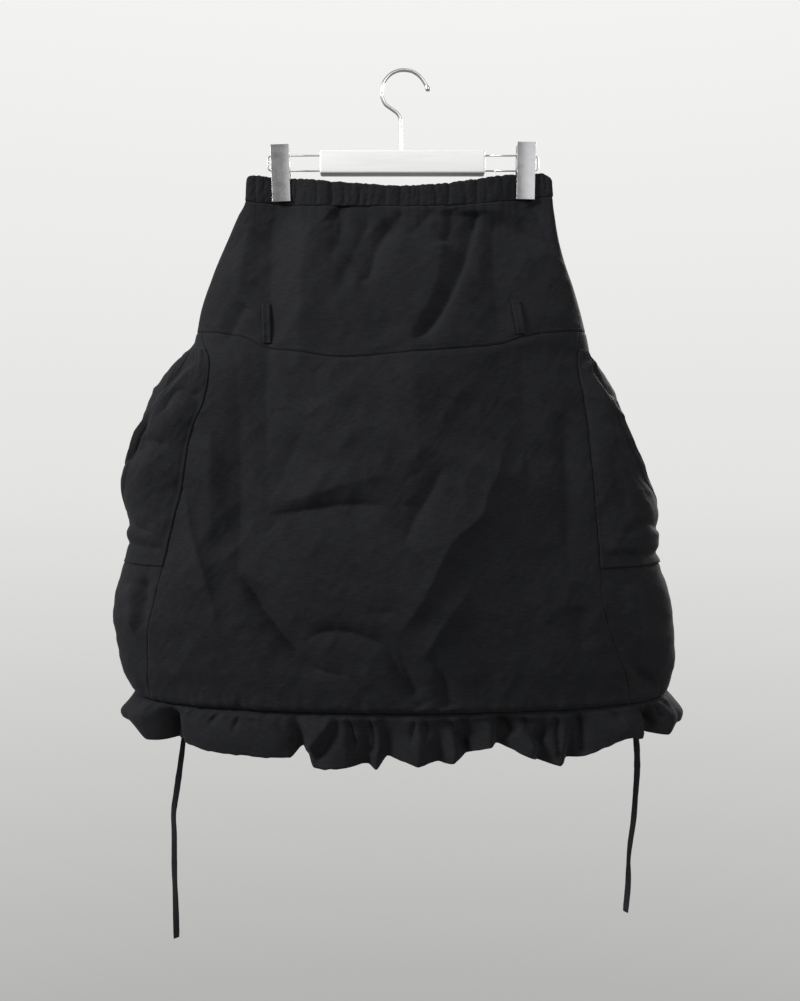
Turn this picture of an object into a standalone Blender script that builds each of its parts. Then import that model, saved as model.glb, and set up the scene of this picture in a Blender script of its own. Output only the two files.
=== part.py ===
"""A black balloon skirt, held by its gathered waistband on a clip hanger.

The skirt is built of the pieces that are cut and sewn: a gathered waistband, a front and a back
yoke, a front and a back panel and two side panels that balloon out and turn under at the hem, two
side pockets, two belt loops, a drawcord casing, a gathered ruffle in two halves and two drawcords.
The hanger has a bar, a wire hook, a wire rail at each end and two spring clips.

Metres, +Z up. The front faces -Y and the origin is the seat of the hook, at the top of its loop.
Lengths below are in millimetres, and "down" is the distance below that seat.
"""

import math

import bmesh
import bpy
from mathutils import Vector

MM = 0.001
GAP = 0.3  # between two pieces that are pressed together
SEAM = 0.6  # from a faceted piece of cloth to the line of its seam
SIDE_SEAM = 0.7  # the same where the yoke turns at its sides
PANEL_SEAM = 0.8  # the same between the panels, which turn under at the hem
CLOTH = 1.5  # the gathered shell cloth, with its seam allowances
BAND_WALL = 3.0  # casing cloth folded round the elastic
ROUND_STEP, DOWN_STEP = 0.004, 2.0  # the small steps that measure how the shell slopes

# The rings of the skirt, one row for each height. "blunt" is 1 for an ellipse and less for a flat
# tube with blunt sides.
# down, left, right, front, back, blunt
SECTIONS = (
    (110.0, -173.0, 162.0, 14.0, 12.0, 0.42),
    (145.0, -174.5, 163.5, 15.0, 13.0, 0.42),
    (160.0, -182.0, 165.5, 18.5, 14.5, 0.50),
    (185.0, -192.5, 169.5, 27.0, 19.0, 0.58),
    (211.0, -203.5, 176.0, 37.0, 24.0, 0.64),
    (238.0, -213.5, 185.0, 46.0, 29.0, 0.68),
    (264.0, -222.0, 192.5, 53.0, 33.0, 0.72),
    (290.0, -227.0, 199.0, 58.0, 35.0, 0.75),
    (304.0, -231.0, 202.0, 61.0, 37.0, 0.76),
    (317.0, -246.0, 205.5, 63.0, 38.0, 0.77),
    (330.0, -258.5, 215.0, 65.0, 39.0, 0.78),
    (356.0, -276.0, 230.0, 69.0, 41.0, 0.79),
    (383.0, -287.0, 235.0, 73.0, 43.0, 0.80),
    (409.0, -298.5, 246.0, 77.0, 44.0, 0.80),
    (436.0, -303.5, 255.5, 80.0, 45.0, 0.80),
    (462.0, -296.0, 260.0, 83.0, 46.0, 0.80),
    (490.0, -289.5, 264.5, 85.0, 47.0, 0.80),
    (515.0, -291.5, 267.5, 87.0, 48.0, 0.80),
    (541.0, -305.5, 278.5, 88.0, 48.0, 0.80),
    (568.0, -314.0, 287.5, 89.0, 48.0, 0.80),
    (594.0, -317.5, 292.0, 89.0, 48.0, 0.80),
    (647.0, -308.0, 295.0, 86.0, 47.0, 0.80),
    (662.0, -303.0, 292.0, 83.0, 46.0, 0.80),
    (676.0, -297.0, 290.0, 81.0, 46.0, 0.80),
    (688.0, -302.0, 298.0, 80.0, 46.0, 0.80),
    (700.0, -310.0, 305.0, 79.0, 45.0, 0.80),
    (714.0, -303.0, 302.0, 78.0, 45.0, 0.80),
    (760.0, -290.0, 288.0, 78.0, 45.0, 0.80),
)
LEFT, RIGHT, FRONT, BACK, BLUNT = 1, 2, 3, 4, 5

# The top and the bottom edge of the waistband, which dips in the middle under the bar.
# x, top, bottom
BAND_EDGES = (
    (-175.0, 118.5, 143.0),
    (-166.0, 115.5, 145.0),
    (-140.0, 117.9, 147.5),
    (-118.0, 119.5, 149.6),
    (-74.0, 123.9, 151.2),
    (-4.0, 128.3, 151.5),
    (48.0, 125.0, 150.4),
    (78.0, 121.0, 148.5),
    (113.0, 115.5, 144.7),
    (138.0, 113.4, 141.4),
    (154.0, 113.2, 139.6),
    (164.0, 120.0, 139.0),
)
TOP, BOTTOM = 1, 2
BAND_MIDDLE, YOKE_TOP = 130.0, 145.0  # the heights at which those edges are read
BAND_COLUMNS, BAND_ROWS = 64, 2

# The seam between the yoke and the panels below it, on the front and on the back.
# x, down
YOKE_SEAM_FRONT = (
    (-232.0, 288.5),
    (-211.0, 291.0),
    (-174.0, 297.0),
    (-148.0, 307.0),
    (-104.0, 315.0),
    (-55.0, 322.0),
    (0.0, 318.5),
    (60.0, 313.0),
    (100.0, 307.5),
    (130.0, 297.5),
    (174.0, 291.0),
    (203.0, 288.5),
)
YOKE_MIDDLE = 300.0  # the height at which the seam is drawn
SEAM_ROUNDS = 6  # that settle a panel's own edge on that line
YOKE_SEAM_BACK = (
    (-232.0, 288.5),
    (-120.0, 309.0),
    (-12.0, 320.0),
    (95.0, 309.0),
    (203.0, 288.5),
)

# The seams between the front panel and the side panels.
# down, left, right
PANEL_SEAMS = (
    (280.0, -220.0, 189.0),
    (297.0, -217.0, 188.0),
    (326.0, -206.0, 185.5),
    (366.0, -211.0, 191.0),
    (401.0, -224.0, 195.0),
    (450.0, -231.0, 198.3),
    (496.0, -240.5, 201.5),
    (549.0, -253.5, 203.5),
    (580.0, -262.0, 205.5),
    (617.0, -269.0, 216.0),
    (664.0, -270.0, 234.0),
    (760.0, -270.0, 246.0),
)

# The largest folds of the shell, as soft troughs (-) and ridges (+) between two points.
# x0, down0, x1, down1, width, height
FOLDS_FRONT = (
    (76.0, 181.0, 6.0, 301.0, 14.0, -5.0),
    (-100.0, 190.0, -92.0, 267.0, 20.0, -3.5),
    (-141.0, 160.0, -145.0, 417.0, 14.0, 3.5),
    (140.0, 165.0, 168.0, 235.0, 14.0, -3.0),
    (11.0, 333.0, 2.0, 519.0, 26.0, -6.0),
    (106.0, 428.0, 48.0, 518.0, 20.0, -9.0),
    (48.0, 518.0, -17.0, 622.0, 18.0, -7.0),
    (71.0, 560.0, 28.0, 620.0, 15.0, -5.0),
    (-66.0, 533.0, -30.0, 560.0, 48.0, 7.0),
    (-165.0, 560.0, -109.0, 635.0, 18.0, -7.0),
    (-109.0, 635.0, -51.0, 654.0, 16.0, -6.0),
    (-228.0, 450.0, -190.0, 610.0, 15.0, 5.0),
    (-178.0, 450.0, -178.0, 526.0, 22.0, -5.0),
    (178.0, 578.0, 186.0, 640.0, 18.0, -4.0),
)
FOLDS_BACK = (
    (-60.0, 180.0, -20.0, 300.0, 18.0, -3.0),
    (80.0, 185.0, 60.0, 290.0, 20.0, -3.0),
    (-110.0, 430.0, -40.0, 600.0, 22.0, -6.0),
    (120.0, 400.0, 70.0, 560.0, 24.0, -6.0),
    (10.0, 520.0, 40.0, 640.0, 20.0, -5.0),
)
FOLD_SIDES, FOLD_TOP = (0.25, 0.6), (155.0, 190.0)  # folds fade to nothing at the sides and the band

# Where the clips pinch the waistband, and how far down the pinch is felt.
CLIP_X = (-135.0, 133.4)
CLIP_DOWN = (113.6, 111.1)
CLIP_TILT = (-2.0, 1.2)
PINCH_DEPTH, PINCH_WIDTH, PINCH_TOP, PINCH_END = 0.6, 24.0, 150.0, 215.0

# The rows of the panels between the yoke seam and the turn at the hem, as shares of that length.
PANEL_ROWS = (
    0.0, 0.05, 0.11, 0.18, 0.25, 0.32, 0.39, 0.46, 0.53, 0.59, 0.65, 0.73, 0.81, 0.90, 1.0,
)
TURN_RADIUS, TURN_STEPS = 8.0, 4
FRONT_COLUMNS, BACK_COLUMNS, SIDE_COLUMNS = 20, 14, 10
YOKE_ROWS, YOKE_TURN = 6, 0.012  # the share that the yoke takes to turn at its sides

# The mouth of the pocket as a share of the side panel's width, from its front to its back seam.
# down, share
MOUTH = (
    (280.0, 0.30),
    (308.0, 0.26),
    (343.0, 0.23),
    (383.0, 0.25),
    (438.0, 0.32),
    (458.0, 0.40),
    (475.0, 0.50),
    (500.0, 0.62),
    (530.0, 0.70),
    (600.0, 0.60),
    (680.0, 0.50),
)
POCKET_TOP_ROW, POCKET_BOTTOM_ROW, MOUTH_COLUMN = 1, 10, 5
POCKET_SEAM, POCKET_BULGE, MOUTH_BULGE, SAG_BULGE = 0.5, 10.0, 8.5, 3.0
POCKET_CREST, MOUTH_START = 0.62, 0.55  # across the pocket, as shares from its seam to its mouth
POCKET_FULL, SAG_START, POCKET_SHUTS = 0.35, 0.55, 0.86  # down the pocket, as shares of its height

# The fold line at the bottom of the balloon, by the share of the way round the front or back.
HEM_SIDE, HEM_MIDDLE, HEM_POWER = 673.0, 691.0, 0.6
CASING_INSET, CASING_WALL, CASING_TOP, CASING_BOTTOM = 17.9, 4.2, -15.0, -1.5
CASING_COLUMNS = 56

# The crests (+) and valleys (-) of the front ruffle: how far each stands out, and its lower edge.
# x, out, down
RUFFLE = (
    (-294.0, 2.0, 706.0),
    (-272.0, 7.0, 724.0),
    (-253.0, -8.0, 724.0),
    (-234.0, 3.0, 725.0),
    (-198.0, 9.0, 731.0),
    (-147.0, 8.0, 735.0),
    (-122.0, 3.0, 736.0),
    (-112.0, -7.0, 724.0),
    (-96.0, 6.0, 745.0),
    (-62.0, 7.0, 745.0),
    (-42.0, -5.0, 743.0),
    (-31.0, 4.0, 747.0),
    (-21.0, -6.0, 736.0),
    (12.0, 7.0, 743.0),
    (35.0, -4.0, 741.0),
    (50.0, 5.0, 741.0),
    (66.0, -5.0, 733.0),
    (87.0, 4.0, 726.0),
    (101.0, -7.0, 724.0),
    (129.0, 7.0, 736.0),
    (146.0, -4.0, 741.0),
    (162.0, 6.0, 745.0),
    (180.0, -5.0, 740.0),
    (190.0, 4.0, 736.0),
    (225.0, 8.0, 720.0),
    (250.0, 4.0, 722.0),
    (263.0, -6.0, 717.0),
    (277.0, 6.0, 720.0),
    (290.0, 2.0, 710.0),
)
OUT, LOWER = 1, 2
# The same for the back ruffle, which doesn't show and is as uneven.
# x, out, down
RUFFLE_AT_BACK = (
    (-292.0, 2.0, 706.0),
    (-262.0, 7.0, 722.0),
    (-236.0, -6.0, 723.0),
    (-205.0, 6.0, 731.0),
    (-176.0, -4.0, 729.0),
    (-148.0, 7.0, 736.0),
    (-112.0, -6.0, 731.0),
    (-84.0, 5.0, 738.0),
    (-52.0, -5.0, 735.0),
    (-20.0, 7.0, 741.0),
    (18.0, -6.0, 734.0),
    (46.0, 5.0, 738.0),
    (80.0, -4.0, 733.0),
    (108.0, 7.0, 739.0),
    (142.0, -6.0, 731.0),
    (170.0, 6.0, 735.0),
    (204.0, -5.0, 727.0),
    (232.0, 6.0, 728.0),
    (264.0, -4.0, 719.0),
    (290.0, 2.0, 708.0),
)
RUFFLE_TOP_INSET, RUFFLE_FLARE, RUFFLE_WALL = 18.2, 11.0, 1.2
RUFFLE_COLUMNS, RUFFLE_ROWS = 56, 3
RUFFLE_MIDDLE = 700.0  # the height at which its crests are placed
RUFFLE_END = 0.001  # the share left free at each side seam
FLARE_END, CREST_START = 0.7, 0.1  # the shares of its length where it has flared, and starts to wave

# The belt loops, on the yoke.
# name, x0, down0, x1, down1
BELT_LOOPS = (
    ("belt_loop_left", -147.0, 262.0, -145.5, 304.0),
    ("belt_loop_right", 118.4, 258.5, 123.0, 296.0),
)
LOOP_WIDTH, LOOP_WALL, LOOP_END, LOOP_MIDDLE = 8.0, 1.4, 0.6, 2.4
LOOP_COLUMNS, LOOP_ROWS = 2, 5

# The drawcords, from inside the casing to their free ends.
CORD_RADIUS, CORD_STEP = 2.2, 11.0
CORD_LEFT = (
    (-232.8, -34.8, -681.0),
    (-231.5, -31.2, -681.2),
    (-230.7, -28.8, -683.3),
    (-230.5, -27.0, -688.0),
    (-231.8, -26.0, -698.0),
    (-236.0, -25.0, -718.0),
    (-239.5, -24.0, -745.0),
    (-245.0, -22.5, -783.0),
    (-248.6, -22.0, -808.0),
    (-248.0, -22.0, -832.0),
    (-247.8, -22.0, -870.0),
    (-246.6, -22.0, -902.0),
    (-245.5, -22.0, -943.0),
)
CORD_RIGHT = (
    (245.3, -28.2, -678.5),
    (243.7, -25.1, -678.8),
    (242.9, -22.9, -681.0),
    (242.7, -21.2, -686.0),
    (244.0, -20.4, -697.0),
    (248.3, -19.5, -715.0),
    (251.5, -19.0, -735.0),
    (252.0, -19.5, -762.0),
    (250.0, -20.5, -789.0),
    (247.8, -21.0, -816.0),
    (244.2, -21.5, -840.0),
    (242.2, -22.0, -859.0),
    (241.6, -22.0, -886.0),
    (238.9, -22.0, -915.0),
)

# The hanger.
BAR_LEFT, BAR_RIGHT, BAR_TOP, BAR_BOTTOM, BAR_DEPTH, BAR_EDGE = -92.4, 88.8, 87.9, 113.3, 15.0, 1.5
WIRE_RADIUS, TIP_SWELLS, HOOK_STEP = 2.0, (1.1, 1.4, 1.0), 4.0
HOOK = (
    (-3.3, -87.6),
    (-3.6, -62.0),
    (-3.9, -52.5),
    (-7.0, -46.0),
    (-14.0, -40.5),
    (-20.5, -35.5),
    (-24.0, -28.0),
    (-24.6, -21.0),
    (-22.3, -11.5),
    (-15.5, -3.0),
    (-7.0, 1.2),
    (0.5, 2.0),
    (9.0, 0.6),
    (17.0, -4.5),
    (23.0, -12.5),
    (27.5, -21.0),
)
RAIL_RADIUS, RAIL_UPPER, RAIL_LOWER, RAIL_CORNER = 0.9, 92.1, 108.9, 4.5
RAIL_LEFT, RAIL_RIGHT = -149.6, 147.6
CLIP_WIDTH, CLIP_HEIGHT, CLIP_PLATE, CLIP_FACE = 20.0, 63.0, 1.2, 8.4
CLIP_LIP, LIP_EDGE = 7.0, 1.0
FLANGE_TOP, FLANGE_BOTTOM, FLANGE_SLOPE, FLANGE_SINK = 2.0, 30.0, 6.0, 0.6
GRIP_REACH, GRIP_DOWN, GRIP_STEPS = 32.0, 140.0, 8  # the waistband that settles how far a clip opens
SPRING_RADIUS, SPRING_BORE, SPRING_LENGTH, SPRING_SIDES = 4.2, 1.3, 14.0, 16


def smooth_at(rows, at, column):
    """Read a table's column between its rows, on a smooth curve through them."""
    last = len(rows) - 1
    if at <= rows[0][0]:
        return rows[0][column]
    if at >= rows[last][0]:
        return rows[last][column]
    low = max(i for i in range(last) if rows[i][0] <= at)

    def slope(i):
        before, after = rows[max(i - 1, 0)], rows[min(i + 1, last)]
        return (after[column] - before[column]) / (after[0] - before[0])

    span = rows[low + 1][0] - rows[low][0]
    t = (at - rows[low][0]) / span
    start, end = rows[low][column], rows[low + 1][column]
    return (
        start * (1 + 2 * t) * (1 - t) ** 2
        + end * t * t * (3 - 2 * t)
        + span * slope(low) * t * (1 - t) ** 2
        + span * slope(low + 1) * t * t * (t - 1)
    )


def ease(low, high, value):
    """0 below low, 1 above high and a soft step between."""
    t = min(max((value - low) / (high - low), 0.0), 1.0)
    return t * t * (3 - 2 * t)


def fold_height(folds, x, down):
    """How far the folds lift or sink the shell at a point."""
    height = 0.0
    for x0, down0, x1, down1, width, rise in folds:
        along_x, along_down = x1 - x0, down1 - down0
        length = along_x**2 + along_down**2
        t = min(max(((x - x0) * along_x + (down - down0) * along_down) / length, 0.0), 1.0)
        away = math.hypot(x - x0 - t * along_x, down - down0 - t * along_down)
        height += rise * math.exp(-((away / width) ** 2))
    return height


def skin(share, down, inset=0.0):
    """A point of the skirt's shell. Share 0 is its left side, 0.5 the front, 1 the right side."""
    left, right, front, back, blunt = (smooth_at(SECTIONS, down, i) for i in range(1, 6))
    x = (left + right) / 2 - ((right - left) / 2 - inset) * math.cos(math.pi * share)
    turn = math.sin(math.pi * share)
    flatness = abs(turn) ** blunt
    pinch = sum(math.exp(-(((x - clip) / PINCH_WIDTH) ** 2)) for clip in CLIP_X)
    pinch *= PINCH_DEPTH * (1 - ease(PINCH_TOP, PINCH_END, down))
    folds, depth = (FOLDS_FRONT, front) if turn > 0 else (FOLDS_BACK, back)
    fold = fold_height(folds, x, down) * ease(*FOLD_SIDES, abs(turn)) * ease(*FOLD_TOP, down)
    y = (depth - inset) * flatness * (1 - pinch) + fold
    return Vector((x, -y if turn > 0 else y, -down))


def outward(share, down):
    """The direction straight out of the shell."""
    across = skin(share + ROUND_STEP, down) - skin(share - ROUND_STEP, down)
    upward = skin(share, down - DOWN_STEP) - skin(share, down + DOWN_STEP)
    return across.cross(upward).normalized()


def share_at(x, down):
    """The share of the way round the front at which the shell has this x."""
    left, right = smooth_at(SECTIONS, down, LEFT), smooth_at(SECTIONS, down, RIGHT)
    return math.acos(min(max(1 - 2 * (x - left) / (right - left), -1.0), 1.0)) / math.pi


def moved_along(share, down, distance):
    """The share that lies this far round the shell from another."""
    across = skin(share + ROUND_STEP, down) - skin(share - ROUND_STEP, down)
    return share + distance * 2 * ROUND_STEP / across.length


def side_gap(down, depth_column):
    """The share at which the shell is a seam's half gap from its side."""
    depth = smooth_at(SECTIONS, down, depth_column)
    return math.asin((SIDE_SEAM / depth) ** (1 / smooth_at(SECTIONS, down, BLUNT))) / math.pi


def yoke_seam(share):
    table = YOKE_SEAM_FRONT if math.sin(math.pi * share) > 0 else YOKE_SEAM_BACK
    return smooth_at(table, skin(share, YOKE_MIDDLE).x, 1)


def hem_down(share):
    """The fold line at the bottom of the balloon."""
    return HEM_SIDE + (HEM_MIDDLE - HEM_SIDE) * abs(math.sin(math.pi * share)) ** HEM_POWER


def material(name, colour, roughness, metallic=0.0):
    made = bpy.data.materials.new(name)
    made.use_nodes = True
    shader = made.node_tree.nodes["Principled BSDF"]
    shader.inputs["Base Color"].default_value = (*colour, 1.0)
    shader.inputs["Roughness"].default_value = roughness
    shader.inputs["Metallic"].default_value = metallic
    return made


def add_object(name, data, finish, location=(0.0, 0.0, 0.0)):
    made = bpy.data.objects.new(name, data)
    made.location = location
    made.data.materials.append(finish)
    bpy.context.scene.collection.objects.link(made)
    return made


def cloth(name, columns, rows, place, wall, finish, closed=False, side=-1.0):
    """A grid of cloth laid on the form by place(u, v) and given its wall, inwards or outwards."""
    mesh = bmesh.new()
    bmesh.ops.create_grid(mesh, x_segments=columns, y_segments=rows, size=0.5)
    for vertex in mesh.verts:
        vertex.co = place(vertex.co.x + 0.5, 0.5 - vertex.co.y) * MM
    if closed:
        bmesh.ops.remove_doubles(mesh, verts=mesh.verts, dist=1e-6)
    data = bpy.data.meshes.new(name)
    mesh.to_mesh(data)
    mesh.free()
    data.shade_smooth()
    made = add_object(name, data, finish)
    thickness = made.modifiers.new("wall", "SOLIDIFY")
    thickness.thickness = wall * MM
    thickness.offset = side
    return made


def waistband(finish):
    """The elastic casing, one tube all round. Its edges dip in the middle."""

    def place(u, v):
        x = skin(2 * u, BAND_MIDDLE).x
        down = smooth_at(BAND_EDGES, x, TOP) * (1 - v) + (smooth_at(BAND_EDGES, x, BOTTOM) - SEAM) * v
        return skin(2 * u, down)

    return cloth("waistband", BAND_COLUMNS, BAND_ROWS, place, BAND_WALL, finish, closed=True)


def yoke(name, start, depth_column, columns, finish):
    """The half of the yoke from one side seam to the other, between the waistband and the panels."""

    even = [i / columns for i in range(1, columns)]
    shares = [0.0, YOKE_TURN, *even, 1 - YOKE_TURN, 1.0]
    columns += 2

    def place(u, v):
        share = shares[round(u * columns)]
        top = smooth_at(BAND_EDGES, skin(start + share, YOKE_TOP).x, BOTTOM) + SEAM
        down = top + (yoke_seam(start + share) - SEAM - top) * v
        gap = side_gap(down, depth_column)
        return skin(start + gap + (1 - 2 * gap) * share, down)

    return cloth(name, columns, YOKE_ROWS, place, CLOTH, finish)


def shell_point(share_of, row):
    """The point on a panel's row. Rows past the last of PANEL_ROWS turn under at the hem."""
    top = YOKE_MIDDLE
    for _ in range(SEAM_ROUNDS):
        top = yoke_seam(share_of(top)) + SEAM
    turn = hem_down(share_of(HEM_SIDE)) - TURN_RADIUS
    last = len(PANEL_ROWS) - 1
    if row <= last:
        down = top + (turn - top) * PANEL_ROWS[row]
        return share_of(down), down, 0.0
    angle = math.pi * (row - last) / TURN_STEPS
    down = turn + TURN_RADIUS * math.sin(angle)
    return share_of(turn), down, TURN_RADIUS * (1 - math.cos(angle))


def panel(name, columns, share_between, finish):
    """A panel of the balloon, from its seam at u = 0 to its seam at u = 1."""
    rows = len(PANEL_ROWS) - 1 + TURN_STEPS

    def place(u, v):
        return skin(*shell_point(lambda down: share_between(u, down), round(v * rows)))

    return cloth(name, columns, rows, place, CLOTH, finish)


def front_seam(side, down):
    """The share of the seam between the front panel and the left or right side panel."""
    return share_at(smooth_at(PANEL_SEAMS, down, side), down)


def front_share(u, down):
    low = moved_along(front_seam(LEFT, down), down, PANEL_SEAM)
    high = moved_along(front_seam(RIGHT, down), down, -PANEL_SEAM)
    return low + (high - low) * u


def back_share(u, down):
    low = moved_along(2 - front_seam(RIGHT, down), down, PANEL_SEAM)
    high = moved_along(2 - front_seam(LEFT, down), down, -PANEL_SEAM)
    return low + (high - low) * u


def side_share(side, along, down):
    """The share at a column of a side panel, 0 at its front seam and SIDE_COLUMNS at its back one."""
    mouth = smooth_at(MOUTH, down, 1)
    if along <= MOUTH_COLUMN:
        part = mouth * along / MOUTH_COLUMN
    else:
        part = mouth + (1 - mouth) * (along - MOUTH_COLUMN) / (SIDE_COLUMNS - MOUTH_COLUMN)
    seam = front_seam(side, down)
    if side == LEFT:
        front, back = moved_along(seam, down, -PANEL_SEAM), moved_along(-seam, down, PANEL_SEAM)
    else:
        front, back = moved_along(seam, down, PANEL_SEAM), moved_along(2 - seam, down, -PANEL_SEAM)
    return front + (back - front) * part


def side_panel(name, side, finish):
    def share_between(u, down):
        column = SIDE_COLUMNS * (1 - u if side == LEFT else u)
        return side_share(side, column, down)

    return panel(name, SIDE_COLUMNS, share_between, finish)


def pocket(name, side, finish):
    """The pocket's outer layer: points of the side panel, moved out between its sewn edges."""
    rows = POCKET_BOTTOM_ROW - POCKET_TOP_ROW

    def place(u, v):
        along = MOUTH_COLUMN * (1 - u if side == LEFT else u)
        row = POCKET_TOP_ROW + round(v * rows)
        share, down, _ = shell_point(lambda at: side_share(side, along, at), row)
        across = along / MOUTH_COLUMN
        body = POCKET_BULGE * math.sin(math.pi * min(across, POCKET_CREST))
        out = body + (MOUTH_BULGE - body) * ease(MOUTH_START, 1.0, across)
        out = out * ease(0.0, POCKET_FULL, v) + SAG_BULGE * ease(SAG_START, POCKET_SHUTS, v) * across
        out *= 1 - ease(POCKET_SHUTS, 1.0, v)
        return skin(share, down) + outward(share, down) * (POCKET_SEAM + out)

    return cloth(name, MOUTH_COLUMN, rows, place, CLOTH, finish, side=1.0)


def belt_loop(name, x0, down0, x1, down1, finish):
    """A narrow loop that stands off the yoke between its two sewn ends."""

    def place(u, v):
        down = down0 + (down1 - down0) * v
        share = share_at(x0 + (x1 - x0) * v + LOOP_WIDTH * (u - 0.5), down)
        lift = LOOP_END + (LOOP_MIDDLE - LOOP_END) * math.sin(math.pi * v)
        return skin(share, down) + outward(share_at(x0, down0), down0) * lift

    return cloth(name, LOOP_COLUMNS, LOOP_ROWS, place, LOOP_WALL, finish, side=1.0)


def hem_casing(finish):
    """The channel of the drawcord, inside the turned hem. It joins the balloon and the ruffle."""

    def place(u, v):
        down = hem_down(2 * u) + CASING_TOP + (CASING_BOTTOM - CASING_TOP) * v
        return skin(2 * u, down, CASING_INSET)

    return cloth("hem_casing", CASING_COLUMNS, 1, place, CASING_WALL, finish, closed=True)


def ruffle(name, start, table, finish):
    """Half of the ruffle, gathered at the casing and wavy at its free edge."""

    def place(u, v):
        share = start + RUFFLE_END + (1 - 2 * RUFFLE_END) * u
        x = skin(share, RUFFLE_MIDDLE, RUFFLE_TOP_INSET / 2).x
        top = hem_down(share) + CASING_BOTTOM + 2 * GAP
        lower = smooth_at(table, x, LOWER)
        wave = smooth_at(table, x, OUT) * ease(CREST_START, 1.0, v)
        inset = RUFFLE_TOP_INSET - RUFFLE_FLARE * ease(0.0, FLARE_END, v) - wave
        return skin(share, top + (lower - top) * v, inset)

    return cloth(name, RUFFLE_COLUMNS, RUFFLE_ROWS, place, RUFFLE_WALL, finish)


def smooth_route(points, step):
    """Points about a step apart on a smooth curve through a route's own points."""
    points = [Vector(point) for point in points]
    ends = [2 * points[0] - points[1], *points, 2 * points[-1] - points[-2]]
    route = []
    for before, start, end, after in zip(ends, ends[1:], ends[2:], ends[3:]):
        pieces = max(1, round((end - start).length / step))
        for i in range(pieces):
            t = i / pieces
            route.append(
                start
                + (end - before) * (t / 2)
                + (2 * before - 5 * start + 4 * end - after) * (t * t / 2)
                + (3 * start - before - 3 * end + after) * (t**3 / 2)
            )
    return [*route, points[-1]]


def tube(name, route, radius, finish, sides=2, swell=()):
    """A round tube along a route. Swell widens its last points, in order."""
    data = bpy.data.curves.new(name, "CURVE")
    data.dimensions = "3D"
    data.bevel_depth = radius * MM
    data.bevel_resolution = sides
    data.use_fill_caps = True
    spline = data.splines.new("POLY")
    spline.points.add(len(route) - 1)
    for point, place in zip(spline.points, route):
        point.co = (*(place * MM), 1.0)
    for i, wider in enumerate(swell):
        spline.points[i - len(swell)].radius = wider
    return add_object(name, data, finish)


def block(name, low, high, finish, edge=0.0):
    """A box between two corners, with its edges rounded."""
    mesh = bmesh.new()
    bmesh.ops.create_cube(mesh, size=1.0)
    for vertex in mesh.verts:
        vertex.co = Vector(
            low[i] if vertex.co[i] < 0 else high[i] for i in range(3)
        ) * MM
    data = bpy.data.meshes.new(name)
    mesh.to_mesh(data)
    mesh.free()
    made = add_object(name, data, finish)
    if edge:
        rounding = made.modifiers.new("edge", "BEVEL")
        rounding.width = edge * MM
        rounding.segments = 2
    return made


def hanger(bar_finish, wire_finish):
    half = BAR_DEPTH / 2
    block(
        "hanger_bar",
        (BAR_LEFT, -half, -BAR_BOTTOM),
        (BAR_RIGHT, half, -BAR_TOP),
        bar_finish,
        BAR_EDGE,
    )
    route = smooth_route([(x, 0.0, z) for x, z in HOOK], HOOK_STEP)
    tube("hanger_hook", route, WIRE_RADIUS, wire_finish, 3, TIP_SWELLS)
    for name, bar_end, rail_end in (
        ("hanger_rail_left", BAR_LEFT - GAP, RAIL_LEFT),
        ("hanger_rail_right", BAR_RIGHT + GAP, RAIL_RIGHT),
    ):
        inward = math.copysign(RAIL_CORNER, bar_end - rail_end)
        corner = [
            Vector((
                rail_end + inward * (1 - math.cos(angle)),
                0.0,
                -RAIL_UPPER - RAIL_CORNER * (1 - math.sin(angle)),
            ))
            for angle in (math.pi / 2, math.pi / 3, math.pi / 6, 0.0)
        ]
        middle = -(RAIL_UPPER + RAIL_LOWER) / 2
        lower = [Vector((p.x, 0.0, 2 * middle - p.z)) for p in reversed(corner)]
        ends = [Vector((bar_end, 0.0, -RAIL_UPPER)), Vector((bar_end, 0.0, -RAIL_LOWER))]
        tube(name, [ends[0], *corner, *lower, ends[1]], RAIL_RADIUS, wire_finish)


def side_profile(mesh, outline, x0, x1):
    """A flat piece with this outline in the Y-Z plane, from x0 to x1."""
    face = mesh.faces.new([mesh.verts.new(Vector((x0, y, z)) * MM) for y, z in outline])
    grown = bmesh.ops.extrude_face_region(mesh, geom=[face])["geom"]
    bmesh.ops.translate(
        mesh,
        verts=[v for v in grown if isinstance(v, bmesh.types.BMVert)],
        vec=Vector((x1 - x0, 0.0, 0.0)) * MM,
    )


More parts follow.
